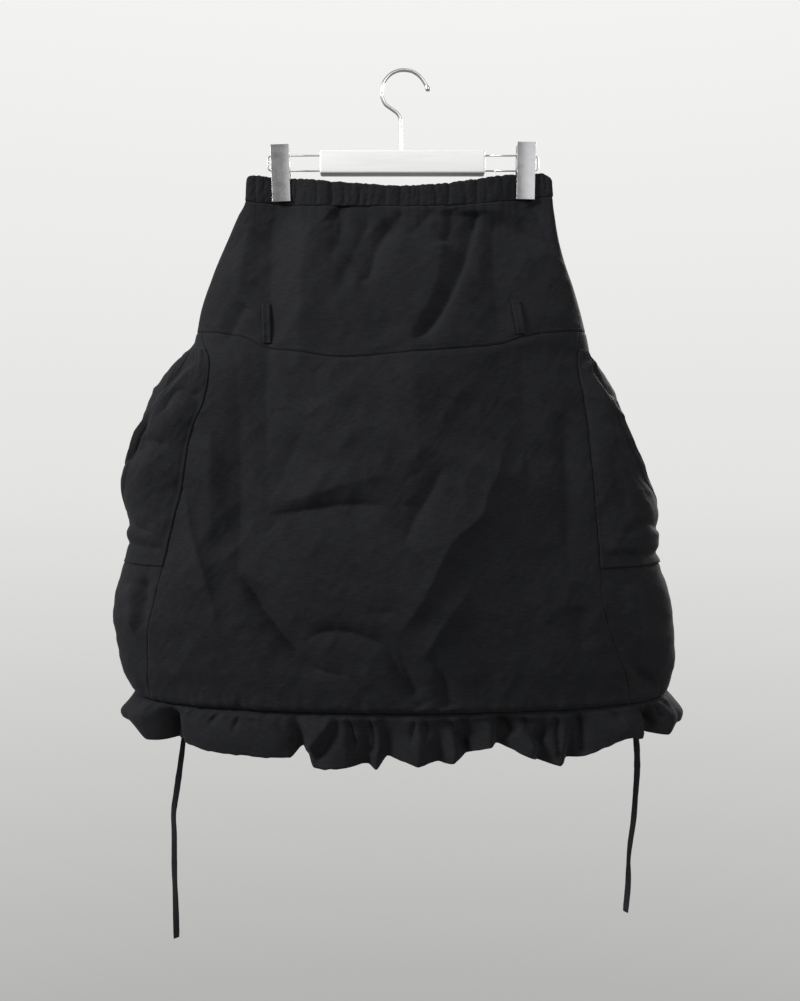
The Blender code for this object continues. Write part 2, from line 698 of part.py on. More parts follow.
def clip_jaw(name, facing, x, down, tilt, grip, finish):
    """One jaw of a clip: a plate with a lip that presses on the band, and two side flanges."""
    half_width, top, bottom = CLIP_WIDTH / 2, CLIP_HEIGHT / 2, -CLIP_HEIGHT / 2
    face, inner = CLIP_FACE, CLIP_FACE - CLIP_PLATE
    plate = (
        (face, top), (face, bottom + CLIP_LIP), (grip + CLIP_PLATE, bottom),
        (grip, bottom), (grip, bottom + LIP_EDGE), (inner, bottom + CLIP_LIP), (inner, top),
    )
    near, rooted = RAIL_RADIUS + GAP, inner + FLANGE_SINK
    flange = (
        (rooted, top - FLANGE_TOP), (rooted, top - FLANGE_BOTTOM + FLANGE_SLOPE),
        (near + LIP_EDGE, top - FLANGE_BOTTOM), (near, top - FLANGE_BOTTOM + LIP_EDGE),
        (near, top - FLANGE_TOP),
    )
    mesh = bmesh.new()
    side_profile(mesh, [(facing * y, z) for y, z in plate], -half_width, half_width)
    bmesh.ops.recalc_face_normals(mesh, faces=mesh.faces)
    data = bpy.data.meshes.new(name)
    mesh.to_mesh(data)
    mesh.free()
    made = add_object(name, data, finish, (x * MM, 0.0, -down * MM))
    made.rotation_euler = (0.0, math.radians(tilt), 0.0)
    for i, start in enumerate((-half_width, half_width - CLIP_PLATE)):
        mesh = bmesh.new()
        side_profile(mesh, [(facing * y, z) for y, z in flange], start, start + CLIP_PLATE)
        bmesh.ops.recalc_face_normals(mesh, faces=mesh.faces)
        data = bpy.data.meshes.new(f"{name}_flange_{i}")
        mesh.to_mesh(data)
        mesh.free()
        cheek = add_object(data.name, data, finish, made.location)
        cheek.rotation_euler = made.rotation_euler
        cheek.hide_render = True
        cheek.display_type = "WIRE"
        joined = made.modifiers.new(f"flange {i}", "BOOLEAN")
        joined.operation = "UNION"
        joined.object = cheek
    return made


def clip_spring(name, x, finish):
    """The spring's barrel round the upper rail, between the flanges."""
    data = bpy.data.meshes.new(name)
    mesh = bmesh.new()
    half = SPRING_LENGTH / 2
    loops = []
    for radius, at in (
        (SPRING_RADIUS, -half), (SPRING_RADIUS, half), (SPRING_BORE, half), (SPRING_BORE, -half),
    ):
        ring = bmesh.ops.create_circle(mesh, segments=SPRING_SIDES, radius=radius * MM)["verts"]
        for vertex in ring:
            vertex.co = Vector((at * MM, vertex.co.x, vertex.co.y))
        loops.append({edge for vertex in ring for edge in vertex.link_edges})
    for first, second in zip(loops, [*loops[1:], loops[0]]):
        bmesh.ops.bridge_loops(mesh, edges=[*first, *second])
    bmesh.ops.recalc_face_normals(mesh, faces=mesh.faces)
    mesh.to_mesh(data)
    mesh.free()
    return add_object(name, data, finish, (x * MM, 0.0, -RAIL_UPPER * MM))


def clips(finish):
    for side, x, down, tilt in zip(("left", "right"), CLIP_X, CLIP_DOWN, CLIP_TILT):
        reach = [x + GRIP_REACH * (i / GRIP_STEPS - 0.5) for i in range(GRIP_STEPS + 1)]
        thickest = max(abs(skin(share_at(at, GRIP_DOWN), GRIP_DOWN).y) for at in reach)
        grip = thickest + GAP
        clip_jaw(f"clip_{side}_front", -1.0, x, down, tilt, grip, finish)
        clip_jaw(f"clip_{side}_back", 1.0, x, down, tilt, grip, finish)
        clip_spring(f"clip_{side}_spring", x, finish)


def main():
    for old in list(bpy.data.objects):
        bpy.data.objects.remove(old)
    shell_cloth = material("black shell cloth", (0.012, 0.012, 0.014), 0.85)
    band_cloth = material("black gathered casing", (0.011, 0.011, 0.013), 0.88)
    tape_cloth = material("black tape", (0.010, 0.010, 0.011), 0.85)
    white_paint = material("white painted wood", (0.86, 0.86, 0.85), 0.30)
    satin_metal = material("satin plated steel", (0.56, 0.56, 0.56), 0.32, 1.0)

    waistband(band_cloth)
    yoke("yoke_front", 0.0, FRONT, FRONT_COLUMNS, shell_cloth)
    yoke("yoke_back", 1.0, BACK, BACK_COLUMNS, shell_cloth)
    panel("front_panel", FRONT_COLUMNS, front_share, shell_cloth)
    panel("back_panel", BACK_COLUMNS, back_share, shell_cloth)
    for side, column in (("left", LEFT), ("right", RIGHT)):
        side_panel(f"side_panel_{side}", column, shell_cloth)
        pocket(f"pocket_{side}", column, shell_cloth)
    for loop in BELT_LOOPS:
        belt_loop(*loop, shell_cloth)
    hem_casing(band_cloth)
    ruffle("ruffle_front", 0.0, RUFFLE, shell_cloth)
    ruffle("ruffle_back", 1.0, RUFFLE_AT_BACK, shell_cloth)
    for name, route in (("drawcord_left", CORD_LEFT), ("drawcord_right", CORD_RIGHT)):
        tube(name, smooth_route(route, CORD_STEP), CORD_RADIUS, tape_cloth)
    hanger(white_paint, satin_metal)
    clips(satin_metal)


main()
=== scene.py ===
# %% [markdown]
# # A black balloon skirt on its clip hanger
#
# This skirt is cut from a thin, crinkled black cotton. A gathered waistband holds it, a plain yoke
# covers the hips, and the panels below balloon out and turn under at the hem, where a drawcord
# gathers them above a ruffle. Big pockets stand out at both sides. It hangs from a wire hanger with
# a white bar and two spring clips.
#
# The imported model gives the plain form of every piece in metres. Each cell below makes the fine
# surface of one piece on that form and prints what it made.

import math

import bmesh
import bpy
import numpy as np
from mathutils import Matrix, Vector


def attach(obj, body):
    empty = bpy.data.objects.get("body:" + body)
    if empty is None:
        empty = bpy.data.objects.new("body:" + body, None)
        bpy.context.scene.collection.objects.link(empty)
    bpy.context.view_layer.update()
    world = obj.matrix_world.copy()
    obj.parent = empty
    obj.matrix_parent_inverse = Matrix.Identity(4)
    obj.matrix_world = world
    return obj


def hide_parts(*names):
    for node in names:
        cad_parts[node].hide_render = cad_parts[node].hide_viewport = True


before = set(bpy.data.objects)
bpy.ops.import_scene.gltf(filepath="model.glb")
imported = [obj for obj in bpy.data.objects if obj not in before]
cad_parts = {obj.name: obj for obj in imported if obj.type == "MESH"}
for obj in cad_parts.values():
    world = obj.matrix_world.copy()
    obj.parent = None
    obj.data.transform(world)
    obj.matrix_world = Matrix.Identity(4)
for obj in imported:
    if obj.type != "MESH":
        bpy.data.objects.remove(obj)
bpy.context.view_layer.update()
MM = 0.001
print("packed pieces:", len(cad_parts))

# %% [markdown]
# ## The camera
#
# The picture shows the skirt straight on, from a little over a metre away. A camera needs a place,
# a direction and a lens. Here the place and the height of what it sees are known, so the lens is
# worked out from them: the sensor's height times the distance, over the height seen.

# %% Put the camera in front of the skirt
EYE_X, EYE_DISTANCE, EYE_DOWN = -4.4, 1150.0, 471.35
HEIGHT_SEEN, SENSOR_HEIGHT = 1101.1, 24.0

camera_data = bpy.data.cameras.new("camera")
camera_data.sensor_fit = "VERTICAL"
camera_data.sensor_height = SENSOR_HEIGHT
camera_data.lens = SENSOR_HEIGHT * EYE_DISTANCE / HEIGHT_SEEN
camera = bpy.data.objects.new("camera", camera_data)
camera.location = Vector((EYE_X, -EYE_DISTANCE, -EYE_DOWN)) * MM
camera.rotation_euler = (math.radians(90), 0, 0)
bpy.context.scene.collection.objects.link(camera)
bpy.context.scene.camera = camera
print("lens in mm:", round(camera_data.lens, 2))

# %% [markdown]
# ## Writing materials as sums
#
# A material is a net of nodes. Written one node at a time it is long and hard to read, so a small
# class wraps a socket and gives it the signs of arithmetic: adding two sockets makes the Add node.
# One method, `node`, makes any other node, with its settings first and then its sockets.


# %% A class that turns arithmetic into nodes
class Shade:
    """A socket of a material, with the operators that make Math nodes."""

    def __init__(self, tree, socket):
        self.tree = tree
        self.socket = socket

    def node(self, kind, settings=(), output=0, **inputs):
        """Any node, with its settings, then its sockets by name or, as _0, _1 and so on, by number."""
        made = self.tree.nodes.new(kind)
        for setting, value in dict(settings).items():
            if setting == "stops":
                while len(made.color_ramp.elements) < len(value):
                    made.color_ramp.elements.new(1.0)
                for stop, (at, colour) in zip(made.color_ramp.elements, value):
                    stop.position = at
                    stop.color = (*colour, 1.0)
            else:
                setattr(made, setting, value)
        for name, value in inputs.items():
            key = int(name[1:]) if name[0] == "_" else name.replace("_", " ")
            socket = made.inputs[key]
            if isinstance(value, Shade):
                self.tree.links.new(value.socket, socket)
            else:
                socket.default_value = value
        return Shade(self.tree, made.outputs[output])

    def math(self, operation, first, second):
        return self.node("ShaderNodeMath", {"operation": operation}, _0=first, _1=second)

    def __add__(self, other):
        return self.math("ADD", self, other)

    __radd__ = __add__

    def __mul__(self, other):
        return self.math("MULTIPLY", self, other)

    __rmul__ = __mul__

    def between(self, low, high):
        """0 below low, 1 above high and a soft step between."""
        return self.node(
            "ShaderNodeMapRange", {"interpolation_type": "SMOOTHSTEP"},
            Value=self, From_Min=low, From_Max=high,
        )

    def colours(self, dark, light):
        """A mix of two colours by this value."""
        return self.node(
            "ShaderNodeMix", {"data_type": "RGBA"}, 2,
            _0=self, _6=(*dark, 1.0), _7=(*light, 1.0),
        )


def new_material(name, roughness, metallic=0.0, specular=0.5):
    """A material, its Principled shader, its object coordinates and its cloth coordinates."""
    made = bpy.data.materials.new(name)
    made.use_nodes = True
    tree = made.node_tree
    shader = tree.nodes["Principled BSDF"]
    shader.inputs["Roughness"].default_value = roughness
    shader.inputs["Metallic"].default_value = metallic
    shader.inputs["Specular IOR Level"].default_value = specular
    places = tree.nodes.new("ShaderNodeTexCoord")
    return made, shader, Shade(tree, places.outputs["Object"]), Shade(tree, places.outputs["UV"])


def feed(shader, socket, value):
    """Link a value to a shader's socket."""
    value.tree.links.new(value.socket, shader.inputs[socket])


def noise(places, scale, detail, stretch=None, settings=(), **more):
    """Soft noise on these coordinates, which may first be stretched."""
    if stretch:
        places = places.node("ShaderNodeMapping", Vector=places, Scale=stretch)
    return places.node("ShaderNodeTexNoise", settings, Vector=places, Scale=scale, Detail=detail, **more)


def bump(height, strength, distance):
    """A bumpy surface of this height, which may reach this far in metres."""
    return height.node("ShaderNodeBump", Height=height, Strength=strength, Distance=distance)


print("signs that make nodes:", "+", "*")

# %% [markdown]
# ## Light and floor
#
# Black cloth shows its folds only where light falls across them. A strong lamp on the left, above
# the skirt, lights every face that turns left and leaves the others darker. A broad weak lamp in
# front brings out the hanger, and one behind lights the back. A pale world, darker below, fills
# the shadows. The floor is far below the hem, where a hanging skirt's floor would be.

# %% Light the skirt from the left
# direction up or down (0 is straight down, 1 straight up), grey
WORLD_GREYS = ((0.0, 0.20), (0.29, 0.46), (0.5, 0.77), (0.72, 0.90), (1.0, 0.94))
WORLD_WARMTH = 0.985  # the share of blue in each grey
LIT_MIDDLE = (0.0, 0.0, -0.42)  # what every lamp points at

# name, place (m), size (m), power (W)
LAMPS = (
    ("side lamp", (-2.5, -1.05, 1.0), 0.8, 180.0),
    ("front lamp", (1.35, -2.6, 0.9), 2.4, 70.0),
    ("back lamp", (1.9, 1.9, 0.7), 1.0, 120.0),
)
for name, place, size, power in LAMPS:
    lamp = bpy.data.lights.new(name, "AREA")
    lamp.size = size
    lamp.energy = power
    holder = bpy.data.objects.new(name, lamp)
    holder.location = place
    towards = Vector(LIT_MIDDLE) - holder.location
    holder.rotation_euler = towards.to_track_quat("-Z", "Y").to_euler()
    bpy.context.scene.collection.objects.link(holder)

world = bpy.data.worlds.new("pale room")
world.use_nodes = True
way_up = Shade(world.node_tree, world.node_tree.nodes.new("ShaderNodeTexCoord").outputs["Generated"])
height = way_up.node("ShaderNodeSeparateXYZ", output=2, Vector=way_up) * 0.5 + 0.5
greys = [(at, (grey, grey, grey * WORLD_WARMTH)) for at, grey in WORLD_GREYS]
feed(world.node_tree.nodes["Background"], "Color",
     height.node("ShaderNodeValToRGB", {"stops": greys}, Fac=height))
bpy.context.scene.world = world
bpy.context.scene.view_settings.view_transform = "Standard"
print("lamps:", [lamp[0] for lamp in LAMPS])

# %% Lay the floor
FLOOR_DOWN, FLOOR_SIZE, FLOOR_COLOUR = 1.75, 3.0, (0.22, 0.22, 0.215, 1.0)
floor_mesh = bmesh.new()
bmesh.ops.create_grid(floor_mesh, x_segments=1, y_segments=1, size=FLOOR_SIZE / 2)
floor_data = bpy.data.meshes.new("floor")
floor_mesh.to_mesh(floor_data)
floor_mesh.free()
floor_finish, floor_shader, _, _ = new_material("pale floor", 0.7)
floor_shader.inputs["Base Color"].default_value = FLOOR_COLOUR
floor_data.materials.append(floor_finish)
floor = bpy.data.objects.new("floor", floor_data)
floor.location.z = -FLOOR_DOWN
bpy.context.scene.collection.objects.link(floor)
print("floor below the hook, in metres:", FLOOR_DOWN)

# %% [markdown]
# ## The cloth
#
# The shell is a matt cotton with a slub: thicker threads run across it at uneven spaces, and the
# cloth is washed, so it is crinkled all over. Both follow the cloth and not the room, so the
# pattern reads the cloth's own UV map, which is laid out in metres. Noise that is stretched along
# the threads gives the slub, rounder noise gives the crinkle, and both also tint the colour.


# %% Weave the black cloth
def cloth_material(name, dark, light, crinkle=0.22):
    made, shader, _, cloth = new_material(name, 0.88, specular=0.10)
    shader.inputs["Sheen Weight"].default_value = 0.04
    shader.inputs["Sheen Roughness"].default_value = 0.45
    shader.inputs["Sheen Tint"].default_value = (0.32, 0.33, 0.37, 1.0)

    def woven(across, along, detail, roughness=0.5):
        flat = {"noise_dimensions": "2D"}
        return noise(cloth, 1.0, detail, (across, along, 1.0), flat, Roughness=roughness)

    slub = woven(95.0, 820.0, 2.0)
    fine_slub = woven(420.0, 1500.0, 1.0)
    creases = woven(150.0, 210.0, 3.0, 0.6)
    patches = woven(14.0, 12.0, 3.0)
    tint = slub * 0.5 + fine_slub * 0.35 + creases * 0.1 + patches * 0.1
    feed(shader, "Base Color", tint.between(0.36, 0.7).colours(dark, light))
    height = slub * 0.07 + fine_slub * 0.05 + creases * crinkle
    feed(shader, "Normal", bump(height, 1.0, MM))
    return made


SHELL_DARK, SHELL_LIGHT = (0.0027, 0.0028, 0.0033), (0.0050, 0.0052, 0.0061)
TAPE_DARK, TAPE_LIGHT = (0.0046, 0.0047, 0.0055), (0.0084, 0.0087, 0.0100)
shell_cloth = cloth_material("crinkled black cotton", SHELL_DARK, SHELL_LIGHT)
band_cloth = cloth_material("gathered black cotton", SHELL_DARK, SHELL_LIGHT)
tape_cloth = cloth_material("black cotton tape", TAPE_DARK, TAPE_LIGHT, 0.2)
print("cloths:", shell_cloth.name, band_cloth.name, tape_cloth.name)

# %% [markdown]
# ## The form of the skirt
#
# Every piece of cloth lies on one form. A ring of the skirt is an ellipse with blunt or pointed
# sides, and the table gives the rings by their distance below the hook. A point on the form has a
# share of the way round, 0 at the left side, 0.5 at the front, 1 at the right side and up to 2
# round the back, and a distance down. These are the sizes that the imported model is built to.

# %% The sizes of the form, in millimetres
# down, left, right, front, back, blunt
SECTIONS = (
    (110.0, -173.0, 162.0, 14.0, 12.0, 0.42),
    (145.0, -174.5, 163.5, 15.0, 13.0, 0.42),
    (160.0, -182.0, 165.5, 18.5, 14.5, 0.50),
    (185.0, -192.5, 169.5, 27.0, 19.0, 0.58),
    (211.0, -203.5, 176.0, 37.0, 24.0, 0.64),
    (238.0, -213.5, 185.0, 46.0, 29.0, 0.68),
    (264.0, -222.0, 192.5, 53.0, 33.0, 0.72),
    (290.0, -227.0, 199.0, 58.0, 35.0, 0.75),
    (304.0, -231.0, 202.0, 61.0, 37.0, 0.76),
    (317.0, -246.0, 205.5, 63.0, 38.0, 0.77),
    (330.0, -258.5, 215.0, 65.0, 39.0, 0.78),
    (356.0, -276.0, 230.0, 69.0, 41.0, 0.79),
    (383.0, -287.0, 235.0, 73.0, 43.0, 0.80),
    (409.0, -298.5, 246.0, 77.0, 44.0, 0.80),
    (436.0, -303.5, 255.5, 80.0, 45.0, 0.80),
    (462.0, -296.0, 260.0, 83.0, 46.0, 0.80),
    (490.0, -289.5, 264.5, 85.0, 47.0, 0.80),
    (515.0, -291.5, 267.5, 87.0, 48.0, 0.80),
    (541.0, -305.5, 278.5, 88.0, 48.0, 0.80),
    (568.0, -314.0, 287.5, 89.0, 48.0, 0.80),
    (594.0, -317.5, 292.0, 89.0, 48.0, 0.80),
    (647.0, -308.0, 295.0, 86.0, 47.0, 0.80),
    (662.0, -303.0, 292.0, 83.0, 46.0, 0.80),
    (676.0, -297.0, 290.0, 81.0, 46.0, 0.80),
    (688.0, -302.0, 298.0, 80.0, 46.0, 0.80),
    (700.0, -310.0, 305.0, 79.0, 45.0, 0.80),
    (714.0, -303.0, 302.0, 78.0, 45.0, 0.80),
    (760.0, -290.0, 288.0, 78.0, 45.0, 0.80),
)
LEFT, RIGHT, FRONT, BACK, BLUNT = 1, 2, 3, 4, 5

# x, top, bottom
BAND_EDGES = (
    (-175.0, 118.5, 143.0),
    (-166.0, 115.5, 145.0),
    (-140.0, 117.9, 147.5),
    (-118.0, 119.5, 149.6),
    (-74.0, 123.9, 151.2),
    (-4.0, 128.3, 151.5),
    (48.0, 125.0, 150.4),
    (78.0, 121.0, 148.5),
    (113.0, 115.5, 144.7),
    (138.0, 113.4, 141.4),
    (154.0, 113.2, 139.6),
    (164.0, 120.0, 139.0),
)
TOP, BOTTOM = 1, 2
BAND_MIDDLE, YOKE_TOP = 130.0, 145.0
SEAM_GAP, SIDE_GAP = 0.06, 0.15  # half the space between two pieces at a seam, and at a side
SEAM_TUCK = 1.1  # how far a panel's top goes up behind the yoke

# x, down
YOKE_SEAM_FRONT = (
    (-232.0, 288.5),
    (-211.0, 291.0),
    (-174.0, 297.0),
    (-148.0, 307.0),
    (-104.0, 315.0),
    (-55.0, 322.0),
    (0.0, 318.5),
    (60.0, 313.0),
    (100.0, 307.5),
    (130.0, 297.5),
    (174.0, 291.0),
    (203.0, 288.5),
)
YOKE_SEAM_BACK = (
    (-232.0, 288.5),
    (-120.0, 309.0),
    (-12.0, 320.0),
    (95.0, 309.0),
    (203.0, 288.5),
)
YOKE_MIDDLE, SEAM_ROUNDS = 300.0, 6

# down, left, right
PANEL_SEAMS = (
    (280.0, -220.0, 189.0),
    (297.0, -217.0, 188.0),
    (326.0, -206.0, 185.5),
    (366.0, -211.0, 191.0),
    (401.0, -224.0, 195.0),
    (450.0, -231.0, 198.3),
    (496.0, -240.5, 201.5),
    (549.0, -253.5, 203.5),
    (580.0, -262.0, 205.5),
    (617.0, -269.0, 216.0),
    (664.0, -270.0, 234.0),
    (760.0, -270.0, 246.0),
)

CLIP_X, CLIP_DOWN, CLIP_TILT = (-135.0, 133.4), (113.6, 111.1), (-2.0, 1.2)
PINCH_DEPTH, PINCH_WIDTH, PINCH_TOP, PINCH_END = 0.6, 24.0, 150.0, 215.0
HEM_SIDE, HEM_MIDDLE, HEM_POWER, TURN_RADIUS = 673.0, 691.0, 0.6, 8.0
print("rings:", len(SECTIONS))

# %% [markdown]
# Points come in thousands, so each of these functions takes whole arrays. `read` draws a smooth
# curve through a table's rows, `skin` gives the place of points on the form, and `outward` the
# direction straight out of it there.


# %% Read the form
def read(table, at, column):
    """A table's column at each value, on a smooth curve through its rows."""
    rows = np.array(table, float)
    marks, values = rows[:, 0], rows[:, column]
    last = len(marks) - 1
    before, after = np.maximum(np.arange(last + 1) - 1, 0), np.minimum(np.arange(last + 1) + 1, last)
    slopes = (values[after] - values[before]) / (marks[after] - marks[before])
    at = np.clip(at, marks[0], marks[last])
    low = np.clip(np.searchsorted(marks, at, side="right") - 1, 0, last - 1)
    span = marks[low + 1] - marks[low]
    t = (at - marks[low]) / span
    return (
        values[low] * (1 + 2 * t) * (1 - t) ** 2
        + values[low + 1] * t * t * (3 - 2 * t)
        + span * slopes[low] * t * (1 - t) ** 2
        + span * slopes[low + 1] * t * t * (t - 1)
    )


def ease(low, high, value):
    """0 below low, 1 above high and a soft step between, for arrays."""
    t = np.clip((value - low) / (high - low), 0.0, 1.0)
    return t * t * (3 - 2 * t)


def skin(share, down, inset=0.0):
    """The places of points on the form, one row of x, y and z for each, in millimetres."""
    share, down, inset = np.broadcast_arrays(share, down, inset)
    left, right, front, back, blunt = (read(SECTIONS, down, column) for column in range(1, 6))
    x = (left + right) / 2 - ((right - left) / 2 - inset) * np.cos(np.pi * share)
    turn = np.sin(np.pi * share)
    pinch = sum(np.exp(-(((x - clip) / PINCH_WIDTH) ** 2)) for clip in CLIP_X)
    pinch = pinch * PINCH_DEPTH * (1 - ease(PINCH_TOP, PINCH_END, down))
    depth = np.where(turn > 0, front, back)
    y = (depth - inset) * np.abs(turn) ** blunt * (1 - pinch)
    return np.stack([x, np.where(turn > 0, -y, y), -down], axis=-1)


STEP_ROUND, STEP_DOWN = 0.004, 2.0  # how far on each side a slope is measured


def outward(share, down):
    """The directions straight out of the form."""
    share, down = np.broadcast_arrays(share, down)
    across = skin(share + STEP_ROUND, down) - skin(share - STEP_ROUND, down)
    upward = skin(share, down - STEP_DOWN) - skin(share, down + STEP_DOWN)
    out = np.cross(across, upward)
    return out / np.linalg.norm(out, axis=-1, keepdims=True)


def share_at(x, down):
    """The share of the front at which the form has this x."""
    left, right = read(SECTIONS, down, LEFT), read(SECTIONS, down, RIGHT)
    return np.arccos(np.clip(1 - 2 * (x - left) / (right - left), -1.0, 1.0)) / np.pi


def moved_along(share, down, distance):
    """The share that lies this far round the form from another."""
    across = skin(share + STEP_ROUND, down) - skin(share - STEP_ROUND, down)
    return share + distance * 2 * STEP_ROUND / np.linalg.norm(across, axis=-1)


def yoke_seam(share):
    """How far down the seam between yoke and panels lies."""
    x = skin(share, YOKE_MIDDLE)[..., 0]
    front = np.sin(np.pi * share) > 0
    return np.where(front, read(YOKE_SEAM_FRONT, x, 1), read(YOKE_SEAM_BACK, x, 1))


def hem_down(share):
    """How far down the turned hem reaches."""
    return HEM_SIDE + (HEM_MIDDLE - HEM_SIDE) * np.abs(np.sin(np.pi * share)) ** HEM_POWER


def seen(places):
    """Where the camera sees points, as x and the distance down on the plane of the hanger."""
    nearer = EYE_DISTANCE / (EYE_DISTANCE + places[..., 1])
    x = EYE_X + (places[..., 0] - EYE_X) * nearer
    return x, EYE_DOWN + (-places[..., 2] - EYE_DOWN) * nearer


print("front of the hem:", skin(0.5, 680.0).round(1))

# %% [markdown]
# ## The folds
#
# Thin cloth doesn't wave evenly: it falls in a few long valleys with a steep side and a slow side,
# and small creases start at each gather. Each fold here is a line through two or more points, with
# its height (below zero for a valley), its width on each side of the line, how crisp its line is
# (1 is a sharp crease, 2 a soft roll) and how much of its length it takes to fade in and out. The
# points are where the camera sees them, in millimetres.

# %% The folds of the front
# height, width left (or below), width right (or above), crispness, fade in, fade out, points (x, down)
FRONT_FOLDS = (
    # the yoke
    (-7.0, 26.0, 30.0, 1.2, 0.2, 0.3, (-142, 146), (-146, 189), (-148, 244), (-151, 300), (-154, 414),
     (-154, 462)),
    (4.0, 14.0, 12.0, 1.6, 0.1, 0.3, (-169, 165), (-177, 207), (-183, 251)),
    (8.0, 24.0, 44.0, 1.25, 0.15, 0.4, (-93, 158), (-108, 196), (-113, 251), (-116, 330)),
    (-6.0, 10.0, 14.0, 1.15, 0.02, 0.4, (-78, 151), (-69, 162), (-75, 189), (-85, 213)),
    (-5.0, 10.0, 16.0, 1.2, 0.1, 0.4, (-38, 160), (-64, 218), (-74, 250)),
    (-8.0, 16.0, 8.0, 1.1, 0.1, 0.3, (-9, 160), (-29, 189), (-38, 221), (-56, 235)),
    (-3.0, 5.0, 10.0, 1.2, 0.02, 0.3, (-5, 154), (-12, 182)),
    (-3.5, 6.0, 10.0, 1.2, 0.02, 0.3, (31, 151), (16, 169), (-5, 182)),
    (-4.0, 6.0, 9.0, 1.2, 0.02, 0.3, (49, 151), (52, 167), (41, 190)),
    (4.0, 14.0, 12.0, 1.3, 0.1, 0.3, (41, 182), (39, 212), (31, 243), (3, 294)),
    (-9.5, 14.0, 8.0, 1.05, 0.02, 0.15, (78, 151), (77, 169), (67, 207), (57, 233), (34, 273), (6, 298)),
    (6.0, 6.0, 30.0, 1.1, 0.1, 0.2, (85, 162), (74, 199), (59, 237), (39, 281), (16, 298)),
    (-9.0, 26.0, 44.0, 1.25, 0.1, 0.4, (107, 151), (98, 182), (101, 240), (108, 310)),
    (-3.0, 8.0, 8.0, 1.3, 0.05, 0.3, (140, 144), (156, 177), (166, 202)),
    (-3.0, 8.0, 8.0, 1.3, 0.1, 0.3, (-175, 253), (-198, 301)),
    # the body, from the yoke's seam down
    (-11.0, 26.0, 60.0, 1.25, 0.35, 0.4, (-184, 320), (-182, 450), (-186, 590)),
    (4.0, 14.0, 12.0, 1.6, 0.2, 0.3, (-213, 390), (-213, 530)),
    (-2.0, 6.0, 12.0, 1.3, 0.3, 0.4, (-136, 355), (-101, 360), (-69, 349)),
    (-1.2, 4.0, 4.0, 1.2, 0.3, 0.4, (-101, 334), (-87, 320)),
    (-1.2, 4.0, 4.0, 1.2, 0.1, 0.5, (-148, 373), (-125, 372)),
    (-7.0, 22.0, 60.0, 1.2, 0.4, 0.35, (-100, 372), (-130, 429), (-142, 458), (-160, 480)),
    (6.0, 14.0, 50.0, 1.2, 0.35, 0.4, (-150, 478), (-93, 462), (-57, 452), (0, 440)),
    (-7.0, 20.0, 8.0, 1.1, 0.3, 0.3, (-158, 489), (-110, 482), (-60, 476), (-12, 477)),
    (-1.5, 4.0, 4.0, 1.2, 0.3, 0.4, (-156, 510), (-138, 492)),
    (11.0, 60.0, 44.0, 1.3, 0.4, 0.45, (8, 270), (12, 361), (14, 416), (8, 480)),
    (-7.0, 50.0, 44.0, 1.3, 0.4, 0.45, (126, 270), (134, 360), (137, 490)),
    (-1.2, 4.0, 4.0, 1.2, 0.3, 0.4, (-2, 451), (22, 439)),
    (-6.0, 16.0, 9.0, 1.1, 0.4, 0.2, (46, 428), (30, 462), (14, 490), (-2, 526)),
    (-1.2, 4.0, 4.0, 1.2, 0.3, 0.4, (-15, 477), (24, 479)),
    (14.0, 80.0, 26.0, 1.0, 0.15, 0.25, (112, 408), (100, 445), (90, 465), (82, 490), (51, 520),
     (20, 581), (-18, 631)),
    (-8.0, 18.0, 18.0, 1.3, 0.3, 0.4, (178, 370), (181, 560)),
    (6.0, 18.0, 14.0, 1.15, 0.4, 0.2, (80, 560), (49, 599), (30, 629), (20, 650)),
    (7.0, 30.0, 10.0, 1.05, 0.3, 0.4, (-242, 449), (-234, 497), (-220, 547), (-202, 619)),
    (-13.0, 10.0, 12.0, 1.1, 0.25, 0.35, (-186, 546), (-147, 607), (-115, 646), (-91, 661), (-54, 666)),
    (-6.0, 7.0, 8.0, 1.1, 0.3, 0.05, (-116, 634), (-91, 617), (-54, 619), (-18, 636), (-4, 668),
     (15, 691)),
    (-1.6, 5.0, 5.0, 1.2, 0.3, 0.4, (-46, 596), (0, 593)),
    (-6.0, 6.0, 7.0, 1.15, 0.5, 0.02, (30, 645), (42, 668), (49, 700)),
    (-6.0, 6.0, 8.0, 1.15, 0.5, 0.02, (-8, 630), (10, 680), (20, 700)),
    (-4.0, 12.0, 12.0, 1.5, 0.2, 0.3, (190, 585), (198, 639)),
)
print("front folds:", len(FRONT_FOLDS))


# %% Lift points by the folds
def curve_between(before, start, end, after, t):
    """The place t of the way from start to end, on a smooth curve through all four."""
    return (
        start
        + (end - before) * (t / 2)
        + (2 * before - 5 * start + 4 * end - after) * (t * t / 2)
        + (3 * start - before - 3 * end + after) * (t**3 / 2)
    )


def drawn_line(points, pieces=5):
    """A smooth line through a fold's points, as rows of x and down."""
    points = np.array(points, float)
    if len(points) == 2:
        return points
    ends = [2 * points[0] - points[1], *points, 2 * points[-1] - points[-2]]
    t = np.arange(pieces)[:, None] / pieces
    runs = [curve_between(*four, t) for four in zip(ends, ends[1:], ends[2:], ends[3:])]
    return np.vstack([*runs, points[-1:]])


